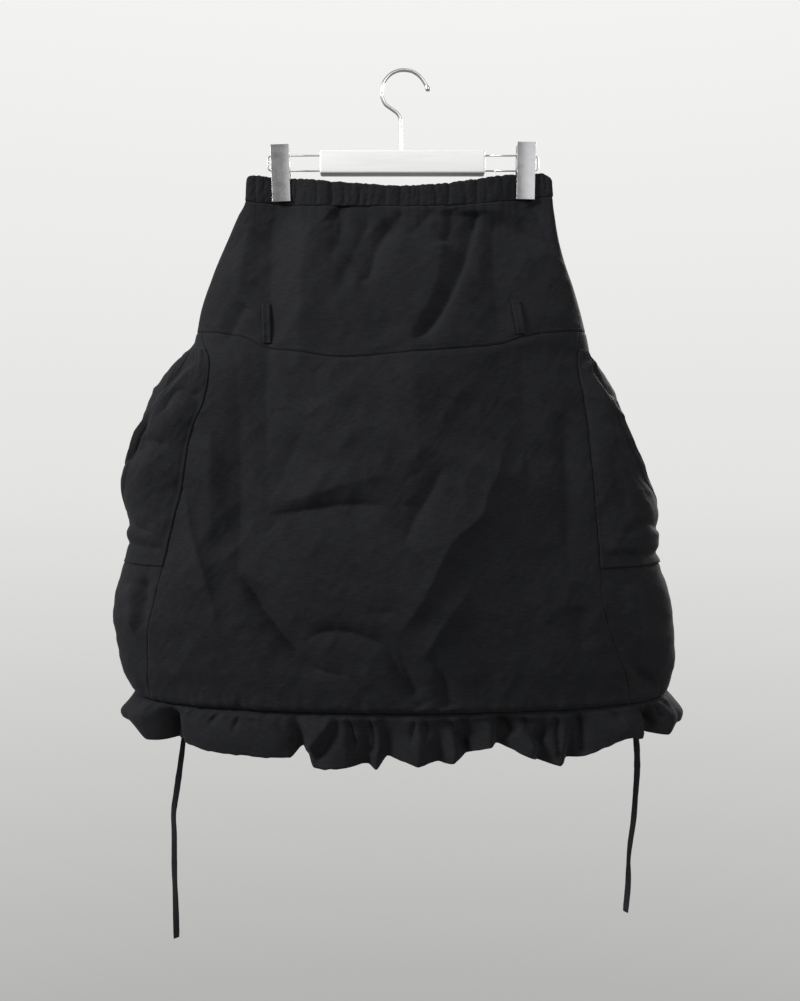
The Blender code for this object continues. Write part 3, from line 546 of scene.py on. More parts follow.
def fold_height(folds, x, down):
    """How far the folds lift or sink points that lie at x and down."""
    height = np.zeros(np.shape(x))
    for rise, width_left, width_right, crisp, fade_in, fade_out, *points in folds:
        line = drawn_line(points)
        steps = np.diff(line, axis=0)
        lengths = np.hypot(steps[:, 0], steps[:, 1])
        whole = lengths.sum()
        nearest = np.full(np.shape(x), np.inf)
        side, along = np.zeros(np.shape(x)), np.zeros(np.shape(x))
        walked = 0.0
        for (x0, down0), (dx, dd), length in zip(line, steps, lengths):
            t = np.clip(((x - x0) * dx + (down - down0) * dd) / length**2, 0.0, 1.0)
            away = np.hypot(x - x0 - t * dx, down - down0 - t * dd)
            closer = away < nearest
            nearest = np.where(closer, away, nearest)
            turned = ((x - x0) * dd - (down - down0) * dx) / length
            side = np.where(closer, turned, side)
            along = np.where(closer, (walked + t * length) / whole, along)
            walked += length
        fade = ease(-0.001, fade_in, along) * (1 - ease(1 - fade_out, 1.001, along))
        middle = width_left + (width_right - width_left) * ease(-3.0, 3.0, side)
        width = middle * (0.4 + 0.6 * fade)
        height += rise * fade * np.exp(-((nearest / width) ** crisp))
    return height


valley = fold_height(FRONT_FOLDS, np.array([-149.0]), np.array([300.0]))
print("lift in the left front valley:", valley.round(1))

# %% [markdown]
# Between the folds the washed cloth is never quite flat. A soft uneven wave of one size is drawn
# from random heights on a square net, eased from one to the next. Two or three sizes together,
# each stretched its own way, give the crumpled look. Sharp crumples are the folds between two
# facets, so the wave is also used folded on itself, as one minus its size.


# %% Crumple the cloth between its folds
NET_DOWN, NET_ACROSS = 97, 89  # the net's own size, beyond which it repeats


def wave(x, down, size_x, size_down, seed):
    """A soft uneven wave from -1 to 1, with one swell for each size."""
    heights = np.random.default_rng(seed).uniform(-1.0, 1.0, (NET_DOWN, NET_ACROSS))
    across, along = x / size_x + 40.0, down / size_down + 4.0
    column, row = np.floor(across).astype(int), np.floor(along).astype(int)
    u, v = ease(0.0, 1.0, across - column), ease(0.0, 1.0, along - row)

    def height(i, j):
        return heights[(row + j) % NET_DOWN, (column + i) % NET_ACROSS]

    upper = height(0, 0) * (1 - u) + height(1, 0) * u
    lower = height(0, 1) * (1 - u) + height(1, 1) * u
    return upper * (1 - v) + lower * v


def crumple(x, down, seed):
    """The small folds of washed cloth, in millimetres."""
    slant, rise = x * 0.8 + down * 0.6, down * 0.8 - x * 0.6
    facets = 1 - 2 * np.abs(wave(slant, rise, 31.0, 52.0, seed))
    small = 1 - 2 * np.abs(wave(rise, slant, 15.0, 23.0, seed + 1))
    tiny = 1 - 2 * np.abs(wave(slant, rise, 7.0, 11.0, seed + 2))
    return 1.1 * facets + 0.75 * small + 0.25 * tiny


print("crumple:", crumple(np.array([0.0, 10.0, 20.0]), np.array([400.0, 410.0, 420.0]), 5).round(2))

# %% [markdown]
# ## Laying a piece of cloth
#
# A piece of cloth starts as a flat grid. Each of its points is then laid on the form: `place` takes
# the whole grid's u (across) and v (down), from 0 to 1, and gives the places in millimetres. The
# grid keeps its flat size in its UV map, which the weave needs. A Solidify modifier gives the
# cloth its thickness, inwards from the outer face. Tubes are closed by merging their two edges.


# %% Lay a grid of cloth on the form
THICKNESS, EDGE_DIP, EDGE_ROLL = 0.8, 0.5, 1.2


def finish_piece(name, mesh, material, node=None):
    """Turn a bmesh into a piece on the one body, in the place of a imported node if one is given."""
    data = bpy.data.meshes.new(name)
    mesh.to_mesh(data)
    mesh.free()
    data.materials.append(material)
    piece = bpy.data.objects.new(name, data)
    bpy.context.scene.collection.objects.link(piece)
    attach(piece, "root")
    if node:
        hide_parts(node)
    return piece


def lay_cloth(node, columns, rows, place, flat, material=shell_cloth,
              closed=False, side=-1.0, thickness=THICKNESS):
    """A grid laid by place(u, v). flat is the width and length of its weave, in millimetres."""
    mesh = bmesh.new()
    bmesh.ops.create_grid(mesh, x_segments=columns, y_segments=rows, size=0.5)
    corner = np.array([vertex.co[:] for vertex in mesh.verts])
    u, v = corner[:, 0] + 0.5, 0.5 - corner[:, 1]
    woven = mesh.loops.layers.uv.new("weave")
    width, length = flat[0] * MM, flat[1] * MM
    for face in mesh.faces:
        for loop in face.loops:
            at = loop.vert.co
            loop[woven].uv = ((at.x + 0.5) * width, (0.5 - at.y) * length)
    for vertex, spot in zip(mesh.verts, place(u, v) * MM):
        vertex.co = spot
    if closed:
        bmesh.ops.remove_doubles(mesh, verts=mesh.verts, dist=1e-6)
    for face in mesh.faces:
        face.smooth = True
    piece = finish_piece(node + "_cloth", mesh, material, node)
    wall = piece.modifiers.new("thickness", "SOLIDIFY")
    wall.thickness = thickness * MM
    wall.offset = side
    print(piece.name, "points:", len(piece.data.vertices))
    return piece


def rolled(*edges):
    """How far the cloth dips at its sewn edges, each given as a distance in millimetres."""
    return -sum(EDGE_DIP * np.exp(-((edge / EDGE_ROLL) ** 2)) for edge in edges)


def raised(share, down, height):
    """Points on the form, lifted off it."""
    return skin(share, down) + outward(share, down) * height[..., None]


print("thickness of the cloth in mm:", THICKNESS)

# %% [markdown]
# ## The drawcords
#
# Two flat tapes of the shell's cloth come out of the hem's sides and hang free, with bare cut
# ends. A limp tape turns on its way down, so it shows its face in one place and its edge in
# another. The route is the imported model's. The tape is swept along it as a strip that turns, each
# ring being a flat rounded section.

# %% The routes of the two drawcords, in metres
CORD_LEFT = (
    (-0.2328, -0.0348, -0.681),
    (-0.2315, -0.0312, -0.6812),
    (-0.2307, -0.0288, -0.6833),
    (-0.2305, -0.027, -0.688),
    (-0.2318, -0.026, -0.698),
    (-0.236, -0.025, -0.718),
    (-0.2395, -0.024, -0.745),
    (-0.245, -0.0225, -0.783),
    (-0.2486, -0.022, -0.808),
    (-0.248, -0.022, -0.832),
    (-0.2478, -0.022, -0.87),
    (-0.2466, -0.022, -0.902),
    (-0.2455, -0.022, -0.943),
)
CORD_RIGHT = (
    (0.2453, -0.0282, -0.6785),
    (0.2437, -0.0251, -0.6788),
    (0.2429, -0.0229, -0.681),
    (0.2427, -0.0212, -0.686),
    (0.244, -0.0204, -0.697),
    (0.2483, -0.0195, -0.715),
    (0.2515, -0.019, -0.735),
    (0.252, -0.0195, -0.762),
    (0.25, -0.0205, -0.789),
    (0.2478, -0.021, -0.816),
    (0.2442, -0.0215, -0.84),
    (0.2422, -0.022, -0.859),
    (0.2416, -0.022, -0.886),
    (0.2389, -0.022, -0.915),
)
TAPE_WIDTH, TAPE_THICKNESS, ROUTE_STEP = 7.0, 1.6, 3.5

# share of the length, degrees that the tape's face is turned from the front, width
TWIST_LEFT = (
    (0.0, 0.0, 0.7),
    (0.12, 8.0, 0.9),
    (0.26, 20.0, 1.0),
    (0.42, 55.0, 0.95),
    (0.52, 78.0, 0.85),
    (0.66, 66.0, 0.9),
    (0.82, 74.0, 0.85),
    (0.93, 48.0, 1.0),
    (1.0, 20.0, 1.0),
)
TWIST_RIGHT = (
    (0.0, 0.0, 0.7),
    (0.15, 12.0, 0.95),
    (0.34, 34.0, 1.0),
    (0.5, 20.0, 0.95),
    (0.68, 62.0, 0.85),
    (0.78, 84.0, 0.8),
    (0.88, 52.0, 0.9),
    (0.95, 25.0, 1.0),
    (1.0, 5.0, 1.0),
)


def smooth_route(points, step):
    """Points about a step apart on a smooth curve through a route's own points."""
    points = [Vector(point) for point in points]
    ends = [2 * points[0] - points[1], *points, 2 * points[-1] - points[-2]]
    route = []
    for before, start, end, after in zip(ends, ends[1:], ends[2:], ends[3:]):
        pieces = max(1, round((end - start).length / step))
        route.extend(curve_between(before, start, end, after, i / pieces) for i in range(pieces))
    return [*route, points[-1]]


print("points on the routes:", len(CORD_LEFT), len(CORD_RIGHT))

# %% [markdown]
# One function sweeps every long thin thing here: the tapes, the hook's wire, the rails and the
# clip's spring. It places a ring of points at each point of a route, square to it, and bridges
# each ring to the next. The section is an ellipse, so a round wire and a flat tape differ only in
# their two half sizes.


# %% Sweep an oval section along a route
def sweep(route, half_across, half_deep, sides=16, turns=(), sharp=1.0):
    """A closed tube along a route. Its half sizes, in metres, are lists or one number for all."""
    mesh = bmesh.new()
    count = len(route)
    across_sizes = np.broadcast_to(half_across, count).tolist()
    deep_sizes = np.broadcast_to(half_deep, count).tolist()
    face_way = Vector((0.0, -1.0, 0.0))
    rings = []
    for i, centre in enumerate(route):
        along = (route[min(i + 1, count - 1)] - route[max(i - 1, 0)]).normalized()
        face_way = (face_way - along * face_way.dot(along)).normalized()
        turned = Matrix.Rotation(turns[i] if turns else 0.0, 3, along) @ face_way
        sideways = along.cross(turned)
        ring = bmesh.ops.create_circle(mesh, segments=sides, radius=1.0)["verts"]
        for vertex in ring:
            x, y = vertex.co.x, vertex.co.y
            x = math.copysign(abs(x) ** sharp, x)
            vertex.co = centre + sideways * (x * across_sizes[i]) + turned * (y * deep_sizes[i])
        rings.append(ring)
    for ring, after in zip(rings, rings[1:]):
        ring_edges = {e for vertex in ring for e in vertex.link_edges if e.other_vert(vertex) in ring}
        next_edges = {e for vertex in after for e in vertex.link_edges if e.other_vert(vertex) in after}
        bmesh.ops.bridge_loops(mesh, edges=list(ring_edges | next_edges))
    for ring in (rings[0], rings[-1]):
        mesh.faces.new(ring)
    bmesh.ops.recalc_face_normals(mesh, faces=mesh.faces)
    for face in mesh.faces:
        face.smooth = len(face.verts) == 4
    print("rings swept:", count)
    return mesh


# %% Hang the drawcords
for name, points, twist, sideways in (
    ("drawcord_left", CORD_LEFT, TWIST_LEFT, 1.0),
    ("drawcord_right", CORD_RIGHT, TWIST_RIGHT, -1.0),
):
    route = smooth_route(points, ROUTE_STEP * MM)
    shares = np.linspace(0.0, 1.0, len(route))
    turns = [sideways * math.radians(angle) for angle in read(twist, shares, 1)]
    widths = read(twist, shares, 2) * TAPE_WIDTH / 2 * MM
    uneven = 1 + 0.05 * wave(shares * 300, shares * 0, 7.0, 5.0, 31)
    mesh = sweep(route, widths * uneven, TAPE_THICKNESS / 2 * MM, 14, turns, sharp=0.7)
    tape = finish_piece(name + "_tape", mesh, tape_cloth, name)
    length = sum((end - start).length for start, end in zip(route, route[1:]))
    print(name, "length in mm:", round(length / MM, 1))

# %% [markdown]
# ## The waistband
#
# A casing of doubled cloth is gathered on a wide elastic. The elastic draws it into soft upright
# puffs between sharp creases, which are uneven: some run from edge to edge, others lean or stop
# half way. Each row of the table is one crease. The band's top edge dips a little at each.

# %% The creases of the waistband
# x at the top, x at the bottom, depth, half width, from, to (shares of the height)
BAND_CREASES = (
    (-163.0, -161.0, 1.2, 2.6, 0.0, 1.0),
    (-153.0, -154.0, 0.7, 1.8, 0.0, 0.7),
    (-117.0, -118.5, 0.9, 2.0, 0.0, 1.0),
    (-107.0, -105.0, 0.6, 1.6, 0.3, 1.0),
    (-95.0, -94.0, 1.1, 2.0, 0.0, 1.0),
    (-79.0, -77.0, 2.2, 2.6, 0.0, 1.0),
    (-65.5, -64.0, 1.2, 1.8, 0.0, 1.0),
    (-57.0, -57.5, 0.9, 1.6, 0.0, 0.8),
    (-49.0, -47.5, 1.2, 2.0, 0.2, 1.0),
    (-39.0, -40.0, 1.0, 2.0, 0.0, 1.0),
    (-29.0, -30.0, 0.5, 1.4, 0.0, 0.5),
    (-20.0, -19.5, 1.2, 2.2, 0.0, 1.0),
    (-4.0, -3.5, 2.2, 2.4, 0.0, 1.0),
    (1.5, 0.5, 0.7, 1.4, 0.4, 1.0),
    (7.5, 8.0, 1.0, 1.8, 0.0, 1.0),
    (12.5, 12.0, 0.8, 1.5, 0.0, 0.7),
    (16.5, 17.0, 1.3, 1.8, 0.0, 1.0),
    (25.0, 25.5, 0.5, 1.4, 0.5, 1.0),
    (33.5, 35.0, 1.6, 2.4, 0.0, 1.0),
    (41.0, 41.5, 0.7, 1.6, 0.0, 0.6),
    (49.0, 48.0, 2.2, 2.6, 0.0, 1.0),
    (58.0, 58.5, 0.6, 1.5, 0.3, 1.0),
    (66.5, 67.5, 1.2, 2.0, 0.0, 1.0),
    (79.5, 78.5, 2.0, 2.6, 0.0, 1.0),
    (89.0, 89.5, 1.1, 1.8, 0.0, 1.0),
    (98.0, 97.0, 0.6, 1.5, 0.0, 0.6),
    (107.0, 108.0, 1.2, 2.0, 0.0, 1.0),
    (117.0, 116.5, 0.9, 1.8, 0.3, 1.0),
    (147.5, 147.0, 0.8, 1.8, 0.0, 1.0),
    (155.0, 156.0, 1.2, 2.2, 0.0, 1.0),
)
# the same, round the back
BAND_CREASES_BACK = (
    (-160.0, -159.0, 1.2, 2.4, 0.0, 1.0),
    (-149.0, -151.0, 0.9, 2.0, 0.0, 1.0),
    (-118.0, -116.0, 1.0, 1.8, 0.0, 1.0),
    (-104.0, -105.0, 1.8, 2.4, 0.0, 1.0),
    (-92.0, -92.0, 0.9, 1.7, 0.0, 0.7),
    (-83.0, -82.0, 1.4, 2.0, 0.0, 1.0),
    (-66.0, -67.0, 2.1, 2.6, 0.0, 1.0),
    (-55.0, -54.0, 0.9, 1.6, 0.3, 1.0),
    (-44.0, -45.0, 1.3, 2.0, 0.0, 1.0),
    (-33.0, -32.0, 1.0, 1.8, 0.0, 1.0),
    (-18.0, -19.0, 2.0, 2.4, 0.0, 1.0),
    (-9.0, -9.0, 0.7, 1.5, 0.0, 0.6),
    (3.0, 4.0, 1.3, 2.0, 0.0, 1.0),
    (17.0, 16.0, 1.6, 2.4, 0.0, 1.0),
    (27.0, 28.0, 0.9, 1.6, 0.4, 1.0),
    (39.0, 38.0, 1.9, 2.4, 0.0, 1.0),
    (52.0, 53.0, 1.1, 1.9, 0.0, 1.0),
    (64.0, 64.0, 0.8, 1.6, 0.0, 0.8),
    (76.0, 75.0, 2.0, 2.6, 0.0, 1.0),
    (91.0, 92.0, 1.2, 2.0, 0.0, 1.0),
    (105.0, 104.0, 1.5, 2.2, 0.0, 1.0),
    (119.0, 118.0, 0.9, 1.8, 0.2, 1.0),
    (146.0, 147.0, 1.0, 2.0, 0.0, 1.0),
    (155.0, 154.0, 1.2, 2.2, 0.0, 1.0),
)


def drawn_in(share, x, v):
    """How deep the elastic's creases are at x, v of the way down the band."""
    deep = np.zeros(np.shape(x))
    front = np.sin(np.pi * share) > 0
    for creases, here in ((BAND_CREASES, front), (BAND_CREASES_BACK, ~front)):
        for x_top, x_bottom, depth, half, start, end in creases:
            away = np.abs(x - x_top - (x_bottom - x_top) * v)
            inside = ease(start - 0.12, start + 0.12, v) * (1 - ease(end - 0.12, end + 0.12, v))
            deep += here * depth * inside * np.exp(-(away / half))
    return deep


print("creases in front and behind:", len(BAND_CREASES), len(BAND_CREASES_BACK))

# %% Gather the waistband
BAND_PUFF, BAND_SINK, BAND_THICKNESS = 1.1, 0.4, 2.2
BAND_FLAT = (680.0, 25.0)


def band_place(u, v):
    """The band, once round from the left side: puffs between the creases of the elastic."""
    share = 2 * u
    x = skin(share, BAND_MIDDLE)[..., 0]
    flat_sides = ease(0.02, 0.3, np.abs(np.sin(np.pi * share)))
    deep = drawn_in(share, x, v) * flat_sides
    top = read(BAND_EDGES, x, TOP) + 0.7 * drawn_in(share, x, 0.05) * flat_sides
    top = top + 0.45 * wave(x, x * 0, 2.6, 5.0, 7)
    bottom = read(BAND_EDGES, x, BOTTOM) - SEAM_GAP
    down = top * (1 - v) + bottom * v
    puff = BAND_PUFF * np.sin(np.pi * np.clip(v, 0.0, 1.0)) ** 0.5 - BAND_SINK
    small = 0.4 * wave(x, down, 4.0, 9.0, 3) + 0.28 * wave(x, down, 2.2, 2.6, 4)
    edges = rolled((down - top) * 1.3, (bottom - down) * 1.1)
    return raised(share, down, puff - deep + small + edges)


waistband = lay_cloth("waistband", 900, 22, band_place, BAND_FLAT, band_cloth,
                      closed=True, thickness=BAND_THICKNESS)

# %% [markdown]
# ## The yoke
#
# Two plain pieces cover the hips, from the waistband to the seam of the balloon. They are cut
# wider than the band, so small gathers start under each crease of the elastic and die out within
# a few centimetres, and the long folds of the front start among them.


# %% Cut and hang the yoke
def side_gap(down, depth_column):
    """The share at which the form is a seam's half gap from its side."""
    depth, blunt = read(SECTIONS, down, depth_column), read(SECTIONS, down, BLUNT)
    return np.arcsin((SIDE_GAP / depth) ** (1 / blunt)) / np.pi


# the folds of the back, which lie at their own x
# height, width left, width right, crispness, fade in, fade out, points (x, down)
BACK_FOLDS = (
    (-5.0, 14.0, 30.0, 1.4, 0.1, 0.4, (-96, 150), (-84, 220), (-60, 300)),
    (-4.5, 20.0, 10.0, 1.4, 0.1, 0.4, (90, 150), (76, 220), (64, 296)),
    (3.5, 14.0, 12.0, 1.8, 0.1, 0.3, (20, 156), (28, 210), (22, 270)),
    (-4.0, 10.0, 12.0, 1.5, 0.1, 0.4, (-30, 152), (-22, 200), (-26, 250)),
    (-9.0, 14.0, 34.0, 1.4, 0.1, 0.3, (-120, 420), (-92, 500), (-40, 610)),
    (-9.0, 32.0, 14.0, 1.4, 0.1, 0.3, (126, 392), (104, 480), (66, 570)),
    (-6.0, 18.0, 18.0, 1.7, 0.2, 0.3, (6, 330), (-4, 410), (8, 500)),
    (-7.0, 12.0, 20.0, 1.4, 0.15, 0.2, (10, 540), (38, 610), (60, 660)),
    (5.0, 14.0, 14.0, 1.6, 0.2, 0.3, (-170, 430), (-176, 520), (-168, 620)),
    (-6.0, 12.0, 14.0, 1.4, 0.15, 0.2, (150, 560), (120, 620), (86, 652)),
)


def folds_at(share, down):
    """The height of the folds: the front's where the camera sees them, the back's at their own x."""
    spot = skin(share, down)
    x, level = seen(spot)
    turn = np.sin(np.pi * share)
    front = fold_height(FRONT_FOLDS, x, level)
    back = fold_height(BACK_FOLDS, spot[..., 0], down)
    return np.where(turn > 0, front, back) * ease(0.08, 0.35, np.abs(turn))


GATHERS_START, GATHERS_END = 2.0, 46.0


def gathers(share, x, below):
    """The small gathers that start at the band, by the distance below it."""
    start = drawn_in(share, x, 1.0)
    between = 0.5 * wave(x, below * 0, 7.0, 5.0, 11)
    return (between - 1.5 * start) * (1 - ease(GATHERS_START, GATHERS_END, below))


YOKE_SEED = 21  # picks the front yoke's crumples, and the next number the back's
YOKE_FLAT, YOKE_WIDTH = (420.0, 165.0), 400.0


def yoke_place(start, depth_column):
    """A half of the yoke, from the share at its first side on."""

    def place(u, v):
        top = read(BAND_EDGES, skin(start + u, YOKE_TOP)[..., 0], BOTTOM) + SEAM_GAP
        down = top + (yoke_seam(start + u) - SEAM_GAP - top) * v
        gap = side_gap(down, depth_column)
        share = start + gap + (1 - 2 * gap) * u
        x = skin(share, down)[..., 0]
        sides = ease(0.05, 0.3, np.abs(np.sin(np.pi * share)))
        lift = folds_at(share, down) + sides * gathers(share, x, down - top)
        seam_below = yoke_seam(start + u) - down
        small = crumple(x, down, YOKE_SEED + int(start))
        lift += sides * small * ease(0.0, 20.0, down - top) * ease(0.0, 8.0, seam_below)
        lift += rolled(u * YOKE_WIDTH, (1 - u) * YOKE_WIDTH, down - top, seam_below)
        return raised(share, down, lift)

    return place


yoke_front = lay_cloth("yoke_front", 230, 90, yoke_place(0.0, FRONT), YOKE_FLAT)
yoke_back = lay_cloth("yoke_back", 170, 64, yoke_place(1.0, BACK), YOKE_FLAT)

# %% [markdown]
# ## The panels of the balloon
#
# Below the yoke, a front, a back and two side panels swell out and turn under at the hem, where
# they are gathered to the drawcord's channel. The gathers pull short puckers up the cloth from
# the hem. A panel's grid runs down its face and on round the turn.


# %% Shape the panels
def front_seam(side, down):
    """The share of the seam between the front panel and the left or right side panel."""
    return share_at(read(PANEL_SEAMS, down, side), down)


def between_seams(low, high, part, down):
    """The share at a part of the width between two seams."""
    low, high = moved_along(low, down, SEAM_GAP), moved_along(high, down, -SEAM_GAP)
    return low + (high - low) * part


def front_share(u, down):
    return between_seams(front_seam(LEFT, down), front_seam(RIGHT, down), u, down)


def back_share(u, down):
    return between_seams(2 - front_seam(RIGHT, down), 2 - front_seam(LEFT, down), u, down)


def settled_top(share_of, u):
    """The height of the yoke's seam at the top of a panel, which depends on the share there."""
    top = np.full(np.shape(u), YOKE_MIDDLE)
    for _ in range(SEAM_ROUNDS):
        top = yoke_seam(share_of(u, top)) + SEAM_GAP
    return top


def puckers(x, above, seed):
    """The short puckers that the drawcord pulls up the cloth, by the distance above the hem."""
    uneven = 12.0 + 26.0 * (0.5 + 0.5 * wave(x, above * 0, 13.0, 5.0, seed + 2))
    strong = 1 - ease(0.0, 1.0, above / uneven)
    fine = wave(x, above * 0, 5.5, 5.0, seed)
    creased = np.abs(wave(x, above * 0, 9.0, 5.0, seed + 1))
    return strong * (0.8 * fine - 0.9 * creased)


MAIN = 0.94  # the share of a panel's grid above its turn at the hem
TUCK_DIP = 1.3  # how deep, and over what length, a panel's top dips behind the yoke
PANEL_SEED = 51  # one pattern of crumples for all the panels, so that they meet at their seams


def panel_place(share_of, width):
    """A panel whose grid lies at share_of(u, down), down its face and round the turn at the hem."""

    def place(u, v):
        top = settled_top(share_of, u) - SEAM_TUCK
        turn = hem_down(share_of(u, HEM_SIDE)) - TURN_RADIUS
        angle = np.pi * np.clip((v - MAIN) / (1 - MAIN), 0.0, 1.0)
        level = np.where(v <= MAIN, top + (turn - top) * v / MAIN, turn)
        share = share_of(u, level)
        down = level + TURN_RADIUS * np.sin(angle)
        inset = TURN_RADIUS * (1 - np.cos(angle))
        x = skin(share, down)[..., 0]
        above = turn + TURN_RADIUS - down
        lift = folds_at(share, down)
        lift += crumple(x, down, PANEL_SEED) * ease(0.0, 8.0, down - top)
        lift += puckers(x, above, PANEL_SEED + 3)
        lift *= 1 - ease(0.2, 1.0, angle / np.pi)
        lift += rolled(u * width, (1 - u) * width)
        lift -= TUCK_DIP * np.exp(-((down - top) / TUCK_DIP) ** 2)
        return skin(share, down, inset) + outward(share, down) * lift[..., None]

    return place


PANEL_WIDTH, SIDE_WIDTH = 450.0, 230.0
FRONT_FLAT, BACK_FLAT, SIDE_FLAT = (460.0, 400.0), (470.0, 400.0), (230.0, 400.0)
front_panel = lay_cloth("front_panel", 230, 190, panel_place(front_share, PANEL_WIDTH), FRONT_FLAT)
back_panel = lay_cloth("back_panel", 170, 140, panel_place(back_share, PANEL_WIDTH), BACK_FLAT)

# %% [markdown]
# The side panels carry the pockets. A pocket's outer layer is sewn to the panel at its front and
# its bottom, and its back edge is the open mouth, a wide slanting slot along the skirt's outline.
# Its edge has a doubled band, and it stands off the panel because the cloth sags there.

# %% The pockets' sizes
# down, share of the side panel's width at which the mouth is, from its front to its back seam
MOUTH = (
    (280.0, 0.30),
    (308.0, 0.26),
    (343.0, 0.23),
    (383.0, 0.25),
    (438.0, 0.32),
    (458.0, 0.40),
    (475.0, 0.50),
    (500.0, 0.62),
    (530.0, 0.70),
    (600.0, 0.60),
    (680.0, 0.50),
)
POCKET_TOP, POCKET_BOTTOM = 0.05, 0.65  # shares of the panel's height
POCKET_LIES, POCKET_BULGE, MOUTH_BULGE, SAG_BULGE = 0.3, 10.0, 8.5, 3.0
POCKET_CREST, MOUTH_START, POCKET_FULL, SAG_START, POCKET_SHUTS = 0.62, 0.55, 0.35, 0.55, 0.86
BAND_AT_MOUTH = 9.0  # the doubled band's width
BELOW_POCKET = (508.0, 530.0)  # where the folds below the pocket start, and are full
print("pocket from and to, in shares of the panel:", POCKET_TOP, POCKET_BOTTOM)

# %% The folds of the two sides
# the folds of the two sides, where the camera sees them
# height, width left, width right, crispness, fade in, fade out, points (x, down)
SIDE_FOLDS = (
    # the left side: the mouth's band, then the creases that start at it
    (-4.5, 3.0, 4.0, 1.1, 0.05, 0.05, (-231, 316), (-246, 332), (-260, 349), (-269, 363), (-276, 385),
     (-283, 403), (-293, 421), (-309, 444)),
    (2.6, 3.0, 7.0, 1.3, 0.1, 0.1, (-225, 322), (-240, 338), (-254, 354), (-263, 368), (-270, 388),
     (-277, 406)),
    (-5.0, 6.0, 7.0, 1.15, 0.1, 0.3, (-218, 359), (-230, 356), (-244, 352), (-253, 362), (-262, 385)),
    (-4.0, 5.0, 5.0, 1.15, 0.1, 0.4, (-283, 406), (-268, 409), (-253, 414)),
    (-3.4, 4.0, 5.0, 1.15, 0.1, 0.4, (-297, 430), (-283, 417), (-270, 416)),
    (-4.5, 4.0, 6.0, 1.15, 0.05, 0.3, (-302, 488), (-286, 499), (-270, 510)),
    (-2.5, 4.0, 5.0, 1.4, 0.1, 0.2, (-303, 519), (-262, 527)),
    (4.0, 10.0, 7.0, 1.2, 0.2, 0.3, (-237, 478), (-233, 505), (-227, 538)),
    (-6.0, 8.0, 8.0, 1.5, 0.2, 0.3, (-286, 552), (-284, 580), (-279, 624)),
    (4.0, 7.0, 8.0, 1.6, 0.2, 0.3, (-300, 560), (-298, 620)),
    # the right side: the mouth's edge and the gaps behind it
    (3.4, 6.0, 3.0, 1.15, 0.05, 0.1, (199, 318), (213, 347), (225, 376), (247, 403), (258, 430),
     (269, 455)),
    (-7.0, 4.0, 6.0, 1.2, 0.2, 0.3, (203, 322), (211, 336), (224, 356), (230, 366)),
    (-4.0, 3.0, 5.0, 1.3, 0.2, 0.3, (271, 460), (279, 478)),
    (-3.0, 4.0, 5.0, 1.2, 0.1, 0.2, (237, 511), (256, 497), (274, 508)),
    (-6.0, 7.0, 5.0, 1.2, 0.05, 0.1, (212, 535), (245, 534), (284, 531)),
    (3.0, 5.0, 7.0, 1.3, 0.1, 0.1, (212, 527), (245, 526), (284, 523)),
    (-6.0, 9.0, 10.0, 1.2, 0.1, 0.2, (220, 627), (240, 648), (262, 665), (282, 680)),
    (-3.0, 9.0, 9.0, 1.6, 0.2, 0.3, (222, 400), (236, 470), (250, 500)),
    (3.0, 9.0, 9.0, 1.8, 0.2, 0.3, (248, 560), (262, 640)),
)
print("side folds:", len(SIDE_FOLDS))


# %% Hang the side panels and their pockets
def side_share(side, part, down):
    """The share at a part of a side panel's width, 0 at its front seam and 1 at its back one."""
    seam = front_seam(side, down)
    if side == LEFT:
        front, back = moved_along(seam, down, -SEAM_GAP), moved_along(-seam, down, SEAM_GAP)
    else:
        front, back = moved_along(seam, down, SEAM_GAP), moved_along(2 - seam, down, -SEAM_GAP)
    return front + (back - front) * part


def side_lift(share, down):
    """The height of the sides' own folds, on the half that the camera sees."""
    x, level = seen(skin(share, down))
    return fold_height(SIDE_FOLDS, x, level) * (np.sin(np.pi * share) > 0)


def side_place(side):
    """A side panel: as any panel, with the side's own folds below the pocket."""

    def share_of(u, down):
        return side_share(side, 1 - u if side == LEFT else u, down)

    plain = panel_place(share_of, SIDE_WIDTH)

    def place(u, v):
        top = settled_top(share_of, u)
        turn = hem_down(share_of(u, HEM_SIDE)) - TURN_RADIUS
        down = top + (turn - top) * np.clip(v / MAIN, 0.0, 1.0)
        share = share_of(u, down)
        across = 1 - u if side == LEFT else u
        under = ease(*BELOW_POCKET, down) * (1 - ease(MAIN, 1.0, v)) * ease(0.0, 0.08, across)
        return plain(u, v) + outward(share, down) * (side_lift(share, down) * under)[..., None]

    return place


